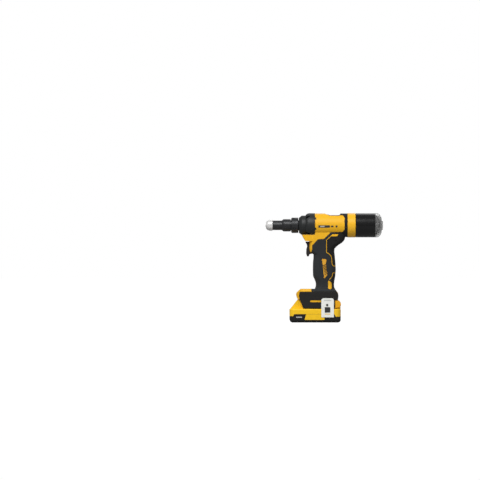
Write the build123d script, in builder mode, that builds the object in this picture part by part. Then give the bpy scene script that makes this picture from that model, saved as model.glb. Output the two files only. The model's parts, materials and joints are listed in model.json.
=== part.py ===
from build123d import *
import math
import os

# Battery rivet tool. The nose points along -X, +Z is up, Y is the width, and the origin is the
# middle of the face that the battery stands on. All sizes are in millimetres.

# Driving sizes of the main axis, along which the rivet stem is pulled
axis_height = 221.0
body_front = -0.5
body_length = 74.1
barrel_radius = 27.0
shell_wall = 3.0
front_housing_length = 20.9
adapter_length = 15.3
lock_nut_length = 16.0
casing_collar_length = 16.0
casing_cone_length = 3.4
barrel_nose_length = 21.9
nose_piece_length = 14.8
joint_gap = 1.5
nose_bore_radius = 2.2
casing_bore_radius = 9.5
screw_radius = 9.0
running_gap = 0.3
fit_gap = 0.05

# Driving sizes of the gears and the motor
nut_gear_teeth = 38
pinion_teeth = 24
drive_module = 1.0
gear_width = 7.0
pressure_angle = 20.0
planet_module = 0.5
sun_teeth = 12
planet_teeth = 18
ring_teeth = 48
planet_count = 3
planet_width = 5.0
motor_radius = 14.4
motor_length = 22.0

# Driving sizes of the rear: ring, canister and cap
ring_length = 18.4
canister_length = 44.6
cap_length = 15.2
cap_knob_length = 2.7
rear_radius = 27.4
canister_wall = 2.0

# Driving sizes of the pod, grip and foot
foot_top = 76.0
foot_floor = 53.0
foot_width = 64.0
foot_front = -43.0
foot_rear = 52.9
panel_thickness = 2.0
chin_front = -30.5
chin_top = 199.5
chin_floor = 185.1
cover_depth = 1.6
accent_width = 1.2
corner_round = 1.6

# Driving sizes of the battery
battery_length = 116.0
battery_width = 75.0
battery_split = 14.6
battery_top_height = 31.0
battery_corner = 12.0
battery_wall = 2.2
rail_top = 52.0
rail_width = 56.0
rail_front_width = 49.0
cell_radius = 9.2
cell_length = 65.0
cell_count = 5

trigger_travel = 6.0
trigger_round = 1.2
trigger_width = 19.0

# Stations along the main axis, worked out from the lengths above
body_rear = body_front + body_length
front_housing_front = body_front - front_housing_length
adapter_front = front_housing_front - adapter_length
lock_nut_rear = adapter_front - joint_gap
lock_nut_front = lock_nut_rear - lock_nut_length
collar_rear = lock_nut_front - joint_gap
collar_front = collar_rear - casing_collar_length
casing_cone_front = collar_front - casing_cone_length
casing_front = casing_cone_front - barrel_nose_length
nose_front = casing_front - nose_piece_length
ring_rear = body_rear + ring_length
canister_rear = ring_rear + canister_length
cap_rear = canister_rear + cap_length
knob_rear = cap_rear + cap_knob_length

centre_distance = drive_module * (nut_gear_teeth + pinion_teeth) / 2
motor_height = axis_height - centre_distance
main_axis = Axis((0, 0, axis_height), (1, 0, 0))

os.makedirs("parts", exist_ok=True)


def keep(builder, name):
    # label a finished piece and write it under the name of its node
    builder.part.label = name
    export_step(builder.part, f"parts/{name}.step")


def half_profile(points, height):
    # closed half profile of (x, radius) points above an axis at the given height
    with BuildSketch(Plane.XZ) as profile:
        with BuildLine():
            Polyline([(x, height + radius) for x, radius in points], close=True)
        make_face()
    return profile.sketch


def disc(x, radius, height=axis_height, hole=0.0):
    # round section square to the main axis, with a hole if one is asked for
    with BuildSketch(Plane.YZ.offset(x)) as section:
        with Locations((0, height)):
            Circle(radius)
            if hole:
                Circle(hole, mode=Mode.SUBTRACT)
    return section.sketch


def side_outline(points, corner=0.0):
    # closed outline of (x, z) points in the plane of symmetry, with rounded corners where asked
    with BuildSketch(Plane.XZ) as outline:
        with BuildLine():
            Polyline(points, close=True)
        make_face()
        if corner:
            fillet(outline.vertices(), corner)
    return outline.sketch


def side_prism(sketch, reach=60.0):
    # the outline carried to both sides
    with BuildPart() as prism:
        extrude(sketch, amount=reach, both=True)
    return prism.part


def involute_point(base_radius, radius, turn):
    # point of an involute at a radius, turned by an angle; the sign of turn sets the flank's hand
    roll = math.sqrt(max((radius / base_radius) ** 2 - 1, 0))
    angle = roll - math.atan(roll)
    return radius, turn - math.copysign(angle, turn)


def gear_sketch(x, height, module, teeth, phase, backlash, bore=0.0, addendum=0.92, dedendum=1.2):
    # involute gear section; a negative backlash gives the spaces of the ring gear that meshes with it
    pitch = module * teeth / 2
    base = pitch * math.cos(math.radians(pressure_angle))
    tip = pitch + addendum * module
    root = pitch - dedendum * module
    pitch_roll = math.sqrt((pitch / base) ** 2 - 1)
    half_tooth = math.pi / (2 * teeth) - backlash / (2 * pitch) + pitch_roll - math.atan(pitch_roll)
    flank_start = max(root, base + 0.01)
    flank_radii = (flank_start, (flank_start + pitch) / 2, pitch, tip)
    flank = [involute_point(base, radius, -half_tooth) for radius in flank_radii]
    profile = flank + [(radius, -turn) for radius, turn in reversed(flank)]
    if root < base:
        profile = [(root, -half_tooth)] + profile + [(root, half_tooth)]
    points = []
    for tooth in range(teeth):
        centre = phase + tooth * 2 * math.pi / teeth
        points += [
            (radius * math.cos(centre + turn), height + radius * math.sin(centre + turn))
            for radius, turn in profile
        ]
    with BuildSketch(Plane.YZ.offset(x)) as section:
        with BuildLine():
            Polyline(points, close=True)
        make_face()
        if bore:
            with Locations((0, height)):
                Circle(bore, mode=Mode.SUBTRACT)
    return section.sketch


def coil_spring(start, direction, radius, wire, length, turns):
    # open coil spring from its start point along a direction
    path = Helix(pitch=length / turns, height=length, radius=radius, center=start, direction=direction)
    section = Plane(origin=path @ 0, z_dir=path % 0)
    with BuildPart() as spring:
        with BuildSketch(section) as wire_section:
            Circle(wire)
        sweep(wire_section.sketch, path=path)
    return spring


# Nose piece with its wrench flats, threaded into the casing, and its tip round the bore
nose_shoulder_radius = 12.3
nose_face_radius = 7.0
nose_tip_radius = 3.2
nose_tip_length = 1.2
nose_dome_length = 8.2
nose_flat = 22.6
nose_shank_radius = 7.4
nose_shank_length = 3.9
nose_sleeve_radius = 3.6
nose_sleeve_length = 6.4
with BuildPart() as nose_piece:
    nose_points = [
        (nose_front - nose_tip_length, nose_bore_radius),
        (nose_front - nose_tip_length, nose_tip_radius),
        (nose_front, nose_tip_radius),
        (nose_front, nose_face_radius),
        (nose_front + nose_dome_length * 0.35, nose_face_radius + 3.2),
        (nose_front + nose_dome_length * 0.7, nose_shoulder_radius - 0.7),
        (nose_front + nose_dome_length, nose_shoulder_radius),
        (casing_front, nose_shoulder_radius),
        (casing_front, nose_shank_radius),
        (casing_front + nose_shank_length, nose_shank_radius),
        (casing_front + nose_shank_length, nose_sleeve_radius),
        (casing_front + nose_sleeve_length, nose_sleeve_radius),
        (casing_front + nose_sleeve_length, nose_bore_radius),
    ]
    revolve(half_profile(nose_points, axis_height), axis=main_axis)
    with BuildSketch(Plane.YZ.offset(nose_front - nose_tip_length)) as flats:
        with Locations((0, axis_height)):
            RegularPolygon(nose_flat / 2, 6, major_radius=False, rotation=30)
    extrude(amount=nose_piece_length + nose_sleeve_length + nose_tip_length, mode=Mode.INTERSECT)
keep(nose_piece, "nose_piece")

# Nose casing: flatted barrel, cone, collar and the shank that the lock nut grips
casing_radius = 11.4
casing_flat = 21.7
casing_collar_radius = 14.1
casing_shank_radius = 12.0
casing_shank_rear = lock_nut_front + 0.62 * lock_nut_length
with BuildPart() as nose_casing:
    casing_points = [
        (casing_front, nose_shank_radius + fit_gap),
        (casing_front, casing_radius),
        (casing_cone_front, casing_radius),
        (collar_front, casing_collar_radius),
        (collar_rear, casing_collar_radius),
        (collar_rear, casing_shank_radius),
        (casing_shank_rear, casing_shank_radius),
        (casing_shank_rear, casing_bore_radius),
        (casing_front + nose_shank_length, casing_bore_radius),
        (casing_front + nose_shank_length, nose_shank_radius + fit_gap),
    ]
    revolve(half_profile(casing_points, axis_height), axis=main_axis)
    with BuildSketch(Plane.YZ.offset(casing_front)) as ring_of_flats:
        with Locations((0, axis_height)):
            Circle(casing_radius + 1)
            RegularPolygon(casing_flat / 2, 6, major_radius=False, rotation=0, mode=Mode.SUBTRACT)
    extrude(amount=barrel_nose_length - 1, mode=Mode.SUBTRACT)
keep(nose_casing, "nose_casing")

# Lock nut that joins the casing to the adapter, with spanner notches
lock_nut_radius = 17.5
lock_nut_chamfer = 1.8
notch_count = 8
notch_width = 3.0
with BuildPart() as casing_lock_nut:
    revolve(
        half_profile(
            [
                (lock_nut_front, casing_shank_radius + fit_gap),
                (lock_nut_front, lock_nut_radius - lock_nut_chamfer),
                (lock_nut_front + lock_nut_chamfer, lock_nut_radius),
                (lock_nut_rear - lock_nut_chamfer / 2, lock_nut_radius),
                (lock_nut_rear, lock_nut_radius - lock_nut_chamfer / 2),
                (lock_nut_rear, casing_shank_radius + fit_gap),
            ],
            axis_height,
        ),
        axis=main_axis,
    )
    with BuildSketch(Plane.YZ.offset(lock_nut_front)) as notches:
        with Locations((0, axis_height)):
            with PolarLocations(lock_nut_radius, notch_count, start_angle=22.5):
                Rectangle(2.4, notch_width)
    extrude(amount=lock_nut_length * 0.6, mode=Mode.SUBTRACT)
keep(casing_lock_nut, "casing_lock_nut")

# Adapter cone between the lock nut and the front housing, with a snout inside the nut
adapter_nose_radius = 17.0
adapter_radius = 22.2
adapter_cone_length = 5.7
snout_front = casing_shank_rear + running_gap
with BuildPart() as front_adapter:
    adapter_points = [
        (snout_front, casing_bore_radius),
        (snout_front, casing_shank_radius),
        (adapter_front, casing_shank_radius),
        (adapter_front, adapter_nose_radius),
        (adapter_front + adapter_cone_length, adapter_radius - 0.6),
        (adapter_front + adapter_cone_length + 1.5, adapter_radius),
        (front_housing_front, adapter_radius),
        (front_housing_front, casing_bore_radius),
    ]
    revolve(half_profile(adapter_points, axis_height), axis=main_axis)
    split(bisect_by=Plane.XY.offset(chin_top + 0.1), keep=Keep.TOP)
keep(front_adapter, "front_adapter")

# Front housing: metal gear case with its screw scallops, flat underside and thrust seat
front_housing_radius = 27.6
front_cone_length = 7.4
front_face_radius = 23.4
thrust_outer = 20.0
thrust_seat = front_housing_front + 5.6
housing_screw_circle = 21.6
housing_screw_count = 4
scallop_radius = 3.3
scallop_depth = 9.0
front_screw_radius = 1.7
with BuildPart() as front_housing:
    front_points = [
        (front_housing_front, casing_bore_radius + 0.6),
        (front_housing_front, front_face_radius),
        (front_housing_front + front_cone_length * 0.5, front_face_radius + 3.1),
        (front_housing_front + front_cone_length, front_housing_radius),
        (body_front, front_housing_radius),
        (body_front, thrust_outer),
        (thrust_seat, thrust_outer),
        (thrust_seat, casing_bore_radius + 0.6),
    ]
    revolve(half_profile(front_points, axis_height), axis=main_axis)
    split(bisect_by=Plane.XY.offset(chin_top + 0.1), keep=Keep.TOP)
    with BuildSketch(Plane.YZ.offset(front_housing_front)) as scallops:
        with Locations((0, axis_height)):
            with PolarLocations(housing_screw_circle + 3.2, housing_screw_count, start_angle=45):
                SlotOverall(4 * scallop_radius, 2 * scallop_radius)
    extrude(amount=scallop_depth, mode=Mode.SUBTRACT)
    with BuildSketch(Plane.YZ.offset(front_housing_front)) as screw_ways:
        with Locations((0, axis_height)):
            with PolarLocations(housing_screw_circle + 1.7, housing_screw_count, start_angle=45):
                Circle(front_screw_radius + fit_gap)
    extrude(amount=front_housing_length, mode=Mode.SUBTRACT)
keep(front_housing, "front_housing")

# The four screws that sit in the scallops, with socket heads
screw_head_radius = 2.9
screw_head_length = 2.6
with BuildPart() as front_housing_screws:
    for place in range(housing_screw_count):
        turn = math.radians(45 + place * 360 / housing_screw_count)
        radius = housing_screw_circle + 1.7
        middle = (radius * math.cos(turn), axis_height + radius * math.sin(turn))
        with BuildSketch(Plane.YZ.offset(front_housing_front + scallop_depth)) as head:
            with Locations(middle):
                Circle(screw_head_radius)
                RegularPolygon(1.3, 6, mode=Mode.SUBTRACT)
        extrude(amount=-screw_head_length)
        with BuildSketch(Plane.YZ.offset(front_housing_front + scallop_depth)) as shank:
            with Locations(middle):
                Circle(front_screw_radius)
        extrude(amount=front_housing_length - scallop_depth - 0.4)
keep(front_housing_screws, "front_housing_screws")

# Jaw case: its inner cone closes the three jaws as the screw draws them back
jaw_case_radius = 9.0
jaw_case_front = casing_front + nose_shank_length + 0.7
jaw_case_rear = jaw_case_front + 36.3
cone_mouth_radius = 4.2
cone_angle = 9.0
cone_slope = math.tan(math.radians(cone_angle))
cone_length = 20.3
jaw_room_radius = cone_mouth_radius + cone_length * cone_slope
neck_length = 6.0
neck_radius = 6.0
neck_front = jaw_case_rear - neck_length
with BuildPart() as jaw_case:
    revolve(
        half_profile(
            [
                (jaw_case_front, cone_mouth_radius),
                (jaw_case_front, jaw_case_radius - 1.2),
                (jaw_case_front + 1.2, jaw_case_radius),
                (jaw_case_rear, jaw_case_radius),
                (jaw_case_rear, neck_radius),
                (neck_front, neck_radius),
                (neck_front, jaw_room_radius),
                (jaw_case_front + cone_length, jaw_room_radius),
            ],
            axis_height,
        ),
        axis=main_axis,
    )
keep(jaw_case, "jaw_case")

# Three jaws, cut from one cone and parted so that they can close on the stem
jaw_front = jaw_case_front + 2.6
jaw_length = 13.8
jaw_clearance = 0.3
jaw_bore = nose_bore_radius + 0.55
jaw_half_gap = 0.7
jaw_rear = jaw_front + jaw_length


def jaw(turn):
    front_radius = cone_mouth_radius + (jaw_front - jaw_case_front) * cone_slope - jaw_clearance
    rear_radius_here = front_radius + jaw_length * cone_slope
    with BuildPart() as segment:
        revolve(
            half_profile(
                [
                    (jaw_front, jaw_bore),
                    (jaw_front, front_radius),
                    (jaw_rear, rear_radius_here),
                    (jaw_rear, jaw_bore),
                ],
                axis_height,
            ),
            axis=main_axis,
        )
        for side in (-1, 1):
            edge = math.radians(turn + side * 60)
            along = (math.cos(edge), math.sin(edge))
            across = (-along[1] * side, along[0] * side)
            start = (
                along[0] * -5 + across[0] * -jaw_half_gap,
                axis_height + along[1] * -5 + across[1] * -jaw_half_gap,
            )
            far = (start[0] + along[0] * 25, start[1] + along[1] * 25)
            with BuildSketch(Plane.YZ.offset(jaw_front - 1)) as cut:
                with BuildLine():
                    Polyline(
                        start,
                        far,
                        (far[0] + across[0] * 40, far[1] + across[1] * 40),
                        (start[0] + across[0] * 40, start[1] + across[1] * 40),
                        close=True,
                    )
                make_face()
            extrude(amount=jaw_length + 2, mode=Mode.SUBTRACT)
    return segment


for number, turn in enumerate((90, 210, 330), start=1):
    keep(jaw(turn), f"jaw_{number}")

# Jaw pusher and the spring behind it, inside the jaw case
pusher_front = jaw_rear + 0.1
pusher_nose_length = 4.6
pusher_length = 8.2
with BuildPart() as jaw_pusher:
    revolve(
        half_profile(
            [
                (pusher_front, jaw_bore + 0.2),
                (pusher_front, jaw_room_radius - 2.2),
                (pusher_front + pusher_nose_length, jaw_room_radius - 2.0),
                (pusher_front + pusher_nose_length, jaw_room_radius - 0.8),
                (pusher_front + pusher_length, jaw_room_radius - 0.8),
                (pusher_front + pusher_length, jaw_bore + 0.2),
            ],
            axis_height,
        ),
        axis=main_axis,
    )
keep(jaw_pusher, "jaw_pusher")

jaw_spring_wire = 0.45
jaw_spring_start = pusher_front + pusher_length + jaw_spring_wire + fit_gap
jaw_spring = coil_spring(
    (jaw_spring_start, 0, axis_height),
    (1, 0, 0),
    jaw_room_radius - 1.4,
    jaw_spring_wire,
    neck_front - jaw_spring_start - jaw_spring_wire - fit_gap,
    3,
)
keep(jaw_spring, "jaw_spring")

# Pull screw: hollow screw behind the jaw case, drawn back by the turning nut
screw_rear = 42.0
screw_bore = nose_bore_radius + 1.1
with BuildPart() as pull_screw:
    revolve(
        half_profile(
            [
                (neck_front + fit_gap, screw_bore),
                (neck_front + fit_gap, neck_radius - fit_gap),
                (jaw_case_rear, neck_radius - fit_gap),
                (jaw_case_rear, screw_radius),
                (screw_rear, screw_radius),
                (screw_rear, screw_bore),
            ],
            axis_height,
        ),
        axis=main_axis,
    )
keep(pull_screw, "pull_screw")

# Ball nut with its thrust flange; it turns in two bearings
nut_radius = 13.0
nut_flange_radius = 17.0
nut_front = thrust_seat + 0.3
thrust_length = 5.8
flange_length = 3.5
nut_rear = 16.0
with BuildPart() as ball_nut:
    revolve(
        half_profile(
            [
                (nut_front, screw_radius + running_gap),
                (nut_front, nut_radius),
                (nut_front + thrust_length, nut_radius),
                (nut_front + thrust_length, nut_flange_radius),
                (nut_front + thrust_length + flange_length, nut_flange_radius),
                (nut_front + thrust_length + flange_length, nut_radius),
                (nut_rear, nut_radius),
                (nut_rear, screw_radius + running_gap),
            ],
            axis_height,
        ),
        axis=main_axis,
    )
keep(ball_nut, "ball_nut")


def bearing(front, width, height, inner, outer, groove):
    # ball bearing as one ring with a shield groove in each face
    middle = (inner + outer) / 2
    points = [
        (front, inner),
        (front, middle - groove),
        (front + groove, middle - groove),
        (front + groove, middle + groove),
        (front, middle + groove),
        (front, outer),
    ]
    points += [(2 * front + width - x, radius) for x, radius in reversed(points)]
    axis = Axis((0, 0, height), (1, 0, 0))
    return revolve(half_profile(points, height), axis=axis, mode=Mode.PRIVATE)


bearing_gap = 0.06
rear_bearing_front = 10.0
rear_bearing_width = 5.5
rear_bearing_outer = 16.4
nut_bore = nut_radius + bearing_gap
with BuildPart() as nut_bearings:
    add(bearing(thrust_seat, thrust_length - 0.1, axis_height, nut_bore, thrust_outer, 0.8))
    add(bearing(rear_bearing_front, rear_bearing_width, axis_height, nut_bore, rear_bearing_outer, 0.5))
keep(nut_bearings, "nut_bearings")

# Gear on the ball nut
gear_front = 1.6
drive_backlash = 0.16
with BuildPart() as nut_gear:
    nut_tooth_turn = math.radians(-90)
    extrude(
        gear_sketch(
            gear_front,
            axis_height,
            drive_module,
            nut_gear_teeth,
            nut_tooth_turn,
            drive_backlash,
            nut_radius,
        ),
        amount=gear_width,
    )
keep(nut_gear, "nut_gear")

# Output pinion in one piece with the planet carrier and its three pins
carrier_radius = 10.6
carrier_front = gear_front + gear_width + 0.6
carrier_thickness = 2.2
planet_front = carrier_front + carrier_thickness + 0.3
planet_orbit = planet_module * (sun_teeth + planet_teeth) / 2
planet_pin = 1.4
journal_radius = 3.0
journal_front = -4.4
pinion_neck = 6.0
pinion_phase = math.radians(90) + math.pi / pinion_teeth
with BuildPart() as output_pinion:
    extrude(
        gear_sketch(gear_front, motor_height, drive_module, pinion_teeth, pinion_phase, drive_backlash),
        amount=gear_width,
    )
    extrude(disc(journal_front, journal_radius, motor_height), amount=gear_front - journal_front + 1)
    pinion_end = gear_front + gear_width
    extrude(disc(pinion_end - 1, pinion_neck, motor_height), amount=carrier_front - pinion_end + 2)
    extrude(disc(carrier_front, carrier_radius, motor_height), amount=carrier_thickness)
    for place in range(planet_count):
        angle = math.radians(90 + place * 360 / planet_count)
        with BuildSketch(Plane.YZ.offset(carrier_front)) as pin:
            with Locations((planet_orbit * math.cos(angle), motor_height + planet_orbit * math.sin(angle))):
                Circle(planet_pin)
        extrude(amount=planet_front - carrier_front + planet_width - 0.3)
keep(output_pinion, "output_pinion")

pinion_bearing_outer = 5.4

# Planet gears on the carrier's pins
planet_backlash = 0.10
planet_bore = planet_pin + 0.08
sun_phase = math.radians(90)


def planet(place):
    # the planet's tooth gap faces the sun's tooth at rest, whatever its place round the sun
    angle = math.radians(90 + place * 360 / planet_count)
    sun_shift = (angle - sun_phase) / (2 * math.pi / sun_teeth)
    sun_shift -= math.floor(sun_shift)
    phase = angle + math.pi + (0.5 + sun_shift) * 2 * math.pi / planet_teeth
    middle = (planet_orbit * math.cos(angle), planet_orbit * math.sin(angle))
    with BuildPart() as gear:
        teeth = gear_sketch(
            planet_front, 0, planet_module, planet_teeth, phase, planet_backlash, planet_bore
        )
        extrude(teeth.moved(Location((0, middle[0], motor_height + middle[1]))), amount=planet_width)
    return gear


for place in range(planet_count):
    keep(planet(place), f"planet_gear_{place + 1}")

# Ring gear, held in the housing; its spaces face the outer teeth of the planets
ring_gear_radius = 14.2
ring_margin = 0.2
ring_phase = math.radians(90) - math.pi / ring_teeth
with BuildPart() as ring_gear:
    ring_front = planet_front - ring_margin
    ring_width = planet_width + 2 * ring_margin
    extrude(disc(ring_front, ring_gear_radius, motor_height), amount=ring_width)
    extrude(
        gear_sketch(
            ring_front,
            motor_height,
            planet_module,
            ring_teeth,
            ring_phase,
            -planet_backlash,
            addendum=1.2,
            dedendum=0.92,
        ),
        amount=ring_width,
        mode=Mode.SUBTRACT,
    )
keep(ring_gear, "ring_gear")

# Motor: rotor with its shaft and sun gear, stator with six poles, windings, fan and bearings
shaft_radius = 1.8
rotor_radius = 8.0
air_gap = 0.5
motor_bearing_width = 2.4
motor_bearing_outer = 4.0
motor_front = planet_front + planet_width + 4.6
motor_rear = motor_front + motor_length
fan_front = motor_rear + 3.0
fan_thickness = 3.0
fan_radius = 11.0
fan_blades = 9
pole_count = 6
pole_width = 3.4
yoke_thickness = 2.6
front_motor_bearing = motor_front - 3.4
rear_motor_bearing = fan_front + fan_thickness + 0.8
with BuildPart() as motor_rotor:
    extrude(
        gear_sketch(planet_front, motor_height, planet_module, sun_teeth, sun_phase, planet_backlash),
        amount=planet_width,
    )
    extrude(
        disc(planet_front + planet_width - 0.5, shaft_radius, motor_height),
        amount=rear_motor_bearing + motor_bearing_width - planet_front - planet_width + 0.5,
    )
    extrude(disc(motor_front + 0.5, rotor_radius, motor_height), amount=motor_length - 1)
keep(motor_rotor, "motor_rotor")

with BuildPart() as motor_stator:
    with BuildSketch(Plane.YZ.offset(motor_front)) as lamination:
        with Locations((0, motor_height)):
            Circle(motor_radius)
            Circle(motor_radius - yoke_thickness, mode=Mode.SUBTRACT)
            with PolarLocations((motor_radius + rotor_radius + air_gap) / 2 - 0.4, pole_count):
                Rectangle(motor_radius - rotor_radius - air_gap - 1, pole_width)
            Circle(rotor_radius + air_gap, mode=Mode.SUBTRACT)
    extrude(amount=motor_length)
keep(motor_stator, "motor_stator")

winding_depth = 2.0
winding_width = 0.9
winding_start = rotor_radius + air_gap + 0.7
with BuildPart() as motor_windings:
    for pole in range(pole_count):
        angle = math.radians(pole * 360 / pole_count)
        outward = (0, math.cos(angle), math.sin(angle))
        middle = (motor_front + motor_length / 2, 0, motor_height)
        origin = tuple(m + winding_start * o for m, o in zip(middle, outward))
        with BuildSketch(Plane(origin=origin, x_dir=(1, 0, 0), z_dir=outward)) as loop:
            RectangleRounded(motor_length + 2 * winding_width, pole_width + 2 * winding_width, winding_width)
            Rectangle(motor_length + 0.1, pole_width + 0.1, mode=Mode.SUBTRACT)
        extrude(amount=winding_depth)
keep(motor_windings, "motor_windings")

with BuildPart() as motor_fan:
    extrude(disc(fan_front, shaft_radius + 2.2, motor_height, shaft_radius), amount=fan_thickness)
    extrude(disc(fan_front, fan_radius, motor_height, shaft_radius), amount=0.8)
    with BuildSketch(Plane.YZ.offset(fan_front)) as blades:
        with Locations((0, motor_height)):
            with PolarLocations((fan_radius + shaft_radius + 2) / 2, fan_blades):
                Rectangle(fan_radius - shaft_radius - 2.4, 0.9, rotation=24)
    extrude(amount=fan_thickness)
keep(motor_fan, "motor_fan")

with BuildPart() as drive_bearings:
    journal_bore = journal_radius + bearing_gap
    shaft_bore = shaft_radius + bearing_gap
    add(bearing(journal_front + 0.3, 3.4, motor_height, journal_bore, pinion_bearing_outer, 0.3))
    for front in (front_motor_bearing, rear_motor_bearing):
        add(bearing(front, motor_bearing_width, motor_height, shaft_bore, motor_bearing_outer, 0.3))
keep(drive_bearings, "drive_bearings")

# Plate that closes the gear case and carries the pinion's front bearing
plate_thickness = 1.5
plate_radius = barrel_radius - shell_wall - 0.4
plate_boss_radius = pinion_bearing_outer + 0.9
with BuildPart() as gear_plate:
    with BuildSketch(Plane.YZ.offset(body_front)) as plate_outline:
        with Locations((0, axis_height)):
            Circle(plate_radius)
        with Locations((0, motor_height - 1)):
            RectangleRounded(30, 22, 6)
        with Locations((0, axis_height)):
            Circle(nut_radius + 0.4, mode=Mode.SUBTRACT)
        with Locations((0, motor_height)):
            Circle(pinion_bearing_outer, mode=Mode.SUBTRACT)
    extrude(amount=plate_thickness)
    extrude(
        disc(journal_front - 0.2, plate_boss_radius, motor_height, pinion_bearing_outer),
        amount=body_front - journal_front + 0.2,
    )
keep(gear_plate, "gear_plate")

# Guide tube that carries the spent stem from the screw to the canister
guide_radius = screw_bore - 0.25
guide_wall = 0.5
guide_front = 20.0
guide_rear = ring_rear + 5.0
with BuildPart() as stem_guide:
    extrude(disc(guide_front, guide_radius, hole=guide_radius - guide_wall), amount=guide_rear - guide_front)
keep(stem_guide, "stem_guide")

# Outer form of the two housing halves: pod and grip, round barrel, chin and foot
pod_stations = [
    (9.0, -13.7, 66.0, 43.0),
    (21.0, -13.7, 69.0, 43.0),
    (28.0, -13.7, 68.4, 42.6),
    (34.0, -13.7, 66.6, 42.0),
    (39.7, -13.7, 61.4, 41.0),
    (46.0, -13.7, 51.5, 40.0),
    (53.0, -13.7, 44.6, 39.0),
    (60.0, -12.6, 43.8, 38.0),
]
grip_stations = [
    (77.5, -3.4, 44.8, 37.4),
    (70.0, -3.6, 45.4, 37.0),
    (61.0, -4.6, 46.3, 37.0),
    (44.0, -4.9, 47.3, 37.0),
    (29.0, -4.4, 46.0, 36.0),
    (21.5, -0.8, 44.6, 35.2),
    (13.0, 2.0, 43.2, 34.6),
    (5.0, 1.6, 43.4, 36.0),
    (0.0, -0.8, 45.6, 39.0),
    (-6.0, -6.0, 49.0, 44.0),
]
grip_corner = 14.0
chin_width = 40.0
chin_corner = 12.0
recess_depth = 5.0
recess_outline = [(22.1, 0.0), (33.5, -recess_depth), (55.4, -recess_depth), (58.1, 0.0)]
foot_outline = [
    (-32.0, foot_top),
    (-37.4, foot_top - 4.4),
    (-42.2, foot_top - 9.0),
    (foot_front, foot_top - 13.6),
    (-40.6, foot_floor + 1.6),
    (-39.2, foot_floor),
    (foot_rear - 5.4, foot_floor),
    (foot_rear - 1.4, foot_floor + 2.0),
    (foot_rear, foot_floor + 9.0),
    (foot_rear - 1.4, foot_top - 8.3),
    (foot_rear - 6.6, foot_top - 1.7),
    (foot_rear - 9.0, foot_top),
]
foot_corner = 15.0
foot_edge = 5.2


def chin_block(grow):
    with BuildPart() as block:
        with BuildSketch(Plane.XZ) as outline:
            with BuildLine():
                Polyline(
                    (chin_front, chin_top),
                    (chin_front + 7.9, chin_floor + 0.9),
                    (chin_front + 9.2, chin_floor),
                    (4, chin_floor),
                    (4, chin_top),
                    close=True,
                )
            make_face()
            offset(amount=grow, kind=Kind.INTERSECTION)
        extrude(amount=chin_width / 2 + grow, both=True)
        with BuildSketch(Plane.XY.offset(chin_floor - 10)) as plan:
            with Locations((chin_front + 30, 0)):
                RectangleRounded(60 + 2 * grow, chin_width + 2 * grow, chin_corner + grow)
        extrude(amount=40, mode=Mode.INTERSECT)
    return block.part


def foot_block(grow):
    with BuildPart() as block:
        with BuildSketch(Plane.XZ) as outline:
            with BuildLine():
                Polyline(foot_outline, close=True)
            make_face()
            offset(amount=grow, kind=Kind.INTERSECTION)
        extrude(amount=foot_width / 2 + grow, both=True)
        top_edges = block.edges().filter_by(Axis.X).group_by(Axis.Z)[-1]
        fillet(top_edges, foot_edge + grow)
        with BuildSketch(Plane.XY.offset(foot_floor - 10)) as plan:
            with Locations(((foot_front + foot_rear) / 2, 0)):
                RectangleRounded(
                    foot_rear - foot_front + 2 * grow, foot_width + 2 * grow, foot_corner + grow
                )
        extrude(amount=60, mode=Mode.INTERSECT)
    return block.part


def half_form(grow, barrel_end):
    # left half of the housing's outer form, grown or shrunk by a wall
    with BuildPart() as grip:
        stations = [(axis_height - drop, front, back, width) for drop, front, back, width in pod_stations]
        stations += [(foot_top + rise, front, back, width) for rise, front, back, width in grip_stations]
        for height, front, back, width in stations:
            with BuildSketch(Plane.XY.offset(height)) as section:
                with Locations(((front + back) / 2, 0)):
                    RectangleRounded(back - front + 2 * grow, width + 2 * grow, grip_corner + grow)
        loft(ruled=True)
    top = axis_height + barrel_radius - 0.2 + grow
    rim = [(x, top + rise) for x, rise in recess_outline]
    front_clear = [
        (chin_front - 30, chin_top + grow),
        (body_front, chin_top + grow),
        (body_front, axis_height + 60),
        (chin_front - 30, axis_height + 60),
    ]
    with BuildPart() as cutter:
        extrude(side_outline(front_clear), amount=60, both=True)
        extrude(side_outline([(rim[0][0], top + 30)] + rim + [(rim[-1][0], top + 30)]), amount=60, both=True)
        with BuildSketch(Plane.XZ) as right_half:
            Rectangle(400, 600)
        extrude(amount=-60)
    barrel = extrude(disc(body_front, barrel_radius + grow), amount=barrel_end - body_front)
    with BuildPart() as form:
        add(grip.part)
        add([chin_block(grow), foot_block(grow), barrel])
        add(cutter.part, mode=Mode.SUBTRACT)
    return form.part


outer_form = half_form(0.0, body_rear)
cavity_form = half_form(-shell_wall, body_rear - shell_wall)
seat_form = half_form(-cover_depth, body_rear)


# Side outlines of the rubber covers, as (x, z) points, and the accent lines between them
collar_line = [
    (54.6, axis_height + 60),
    (54.6, axis_height + 22.6),
    (61.2, axis_height + 22.6),
    (64.9, axis_height + 20.9),
    (66.6, axis_height + 17.2),
    (66.6, axis_height - 9.2),
    (62.5, axis_height - 15.1),
]
cover_line = collar_line + [
    (35.6, axis_height - 15.8),
    (19.6, axis_height - 31.1),
    (6.4, axis_height - 31.8),
    (-7.1, axis_height - 46.1),
    (-7.1, axis_height - 55.2),
    (-9.3, axis_height - 63.0),
    (-25.0, axis_height - 63.0),
]
cover_floor = [
    (-25.0, foot_top + 1.0),
    (-9.0, foot_top + 1.0),
    (-9.0, foot_top - 6.0),
    (80.0, foot_top - 6.0),
]
upper_accent = [
    (44.5, axis_height - 22.6),
    (37.8, axis_height - 22.6),
    (25.8, axis_height - 33.6),
    (25.8, axis_height - 62.1),
    (31.2, axis_height - 64.6),
    (36.9, axis_height - 71.0),
    (38.5, foot_top + 57.6),
    (40.1, foot_top + 53.5),
    (44.9, foot_top + 51.9),
    (60.0, foot_top + 51.9),
]
palm_end = [(80.0, foot_top + 51.9), (80.0, axis_height + 60)]
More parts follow.
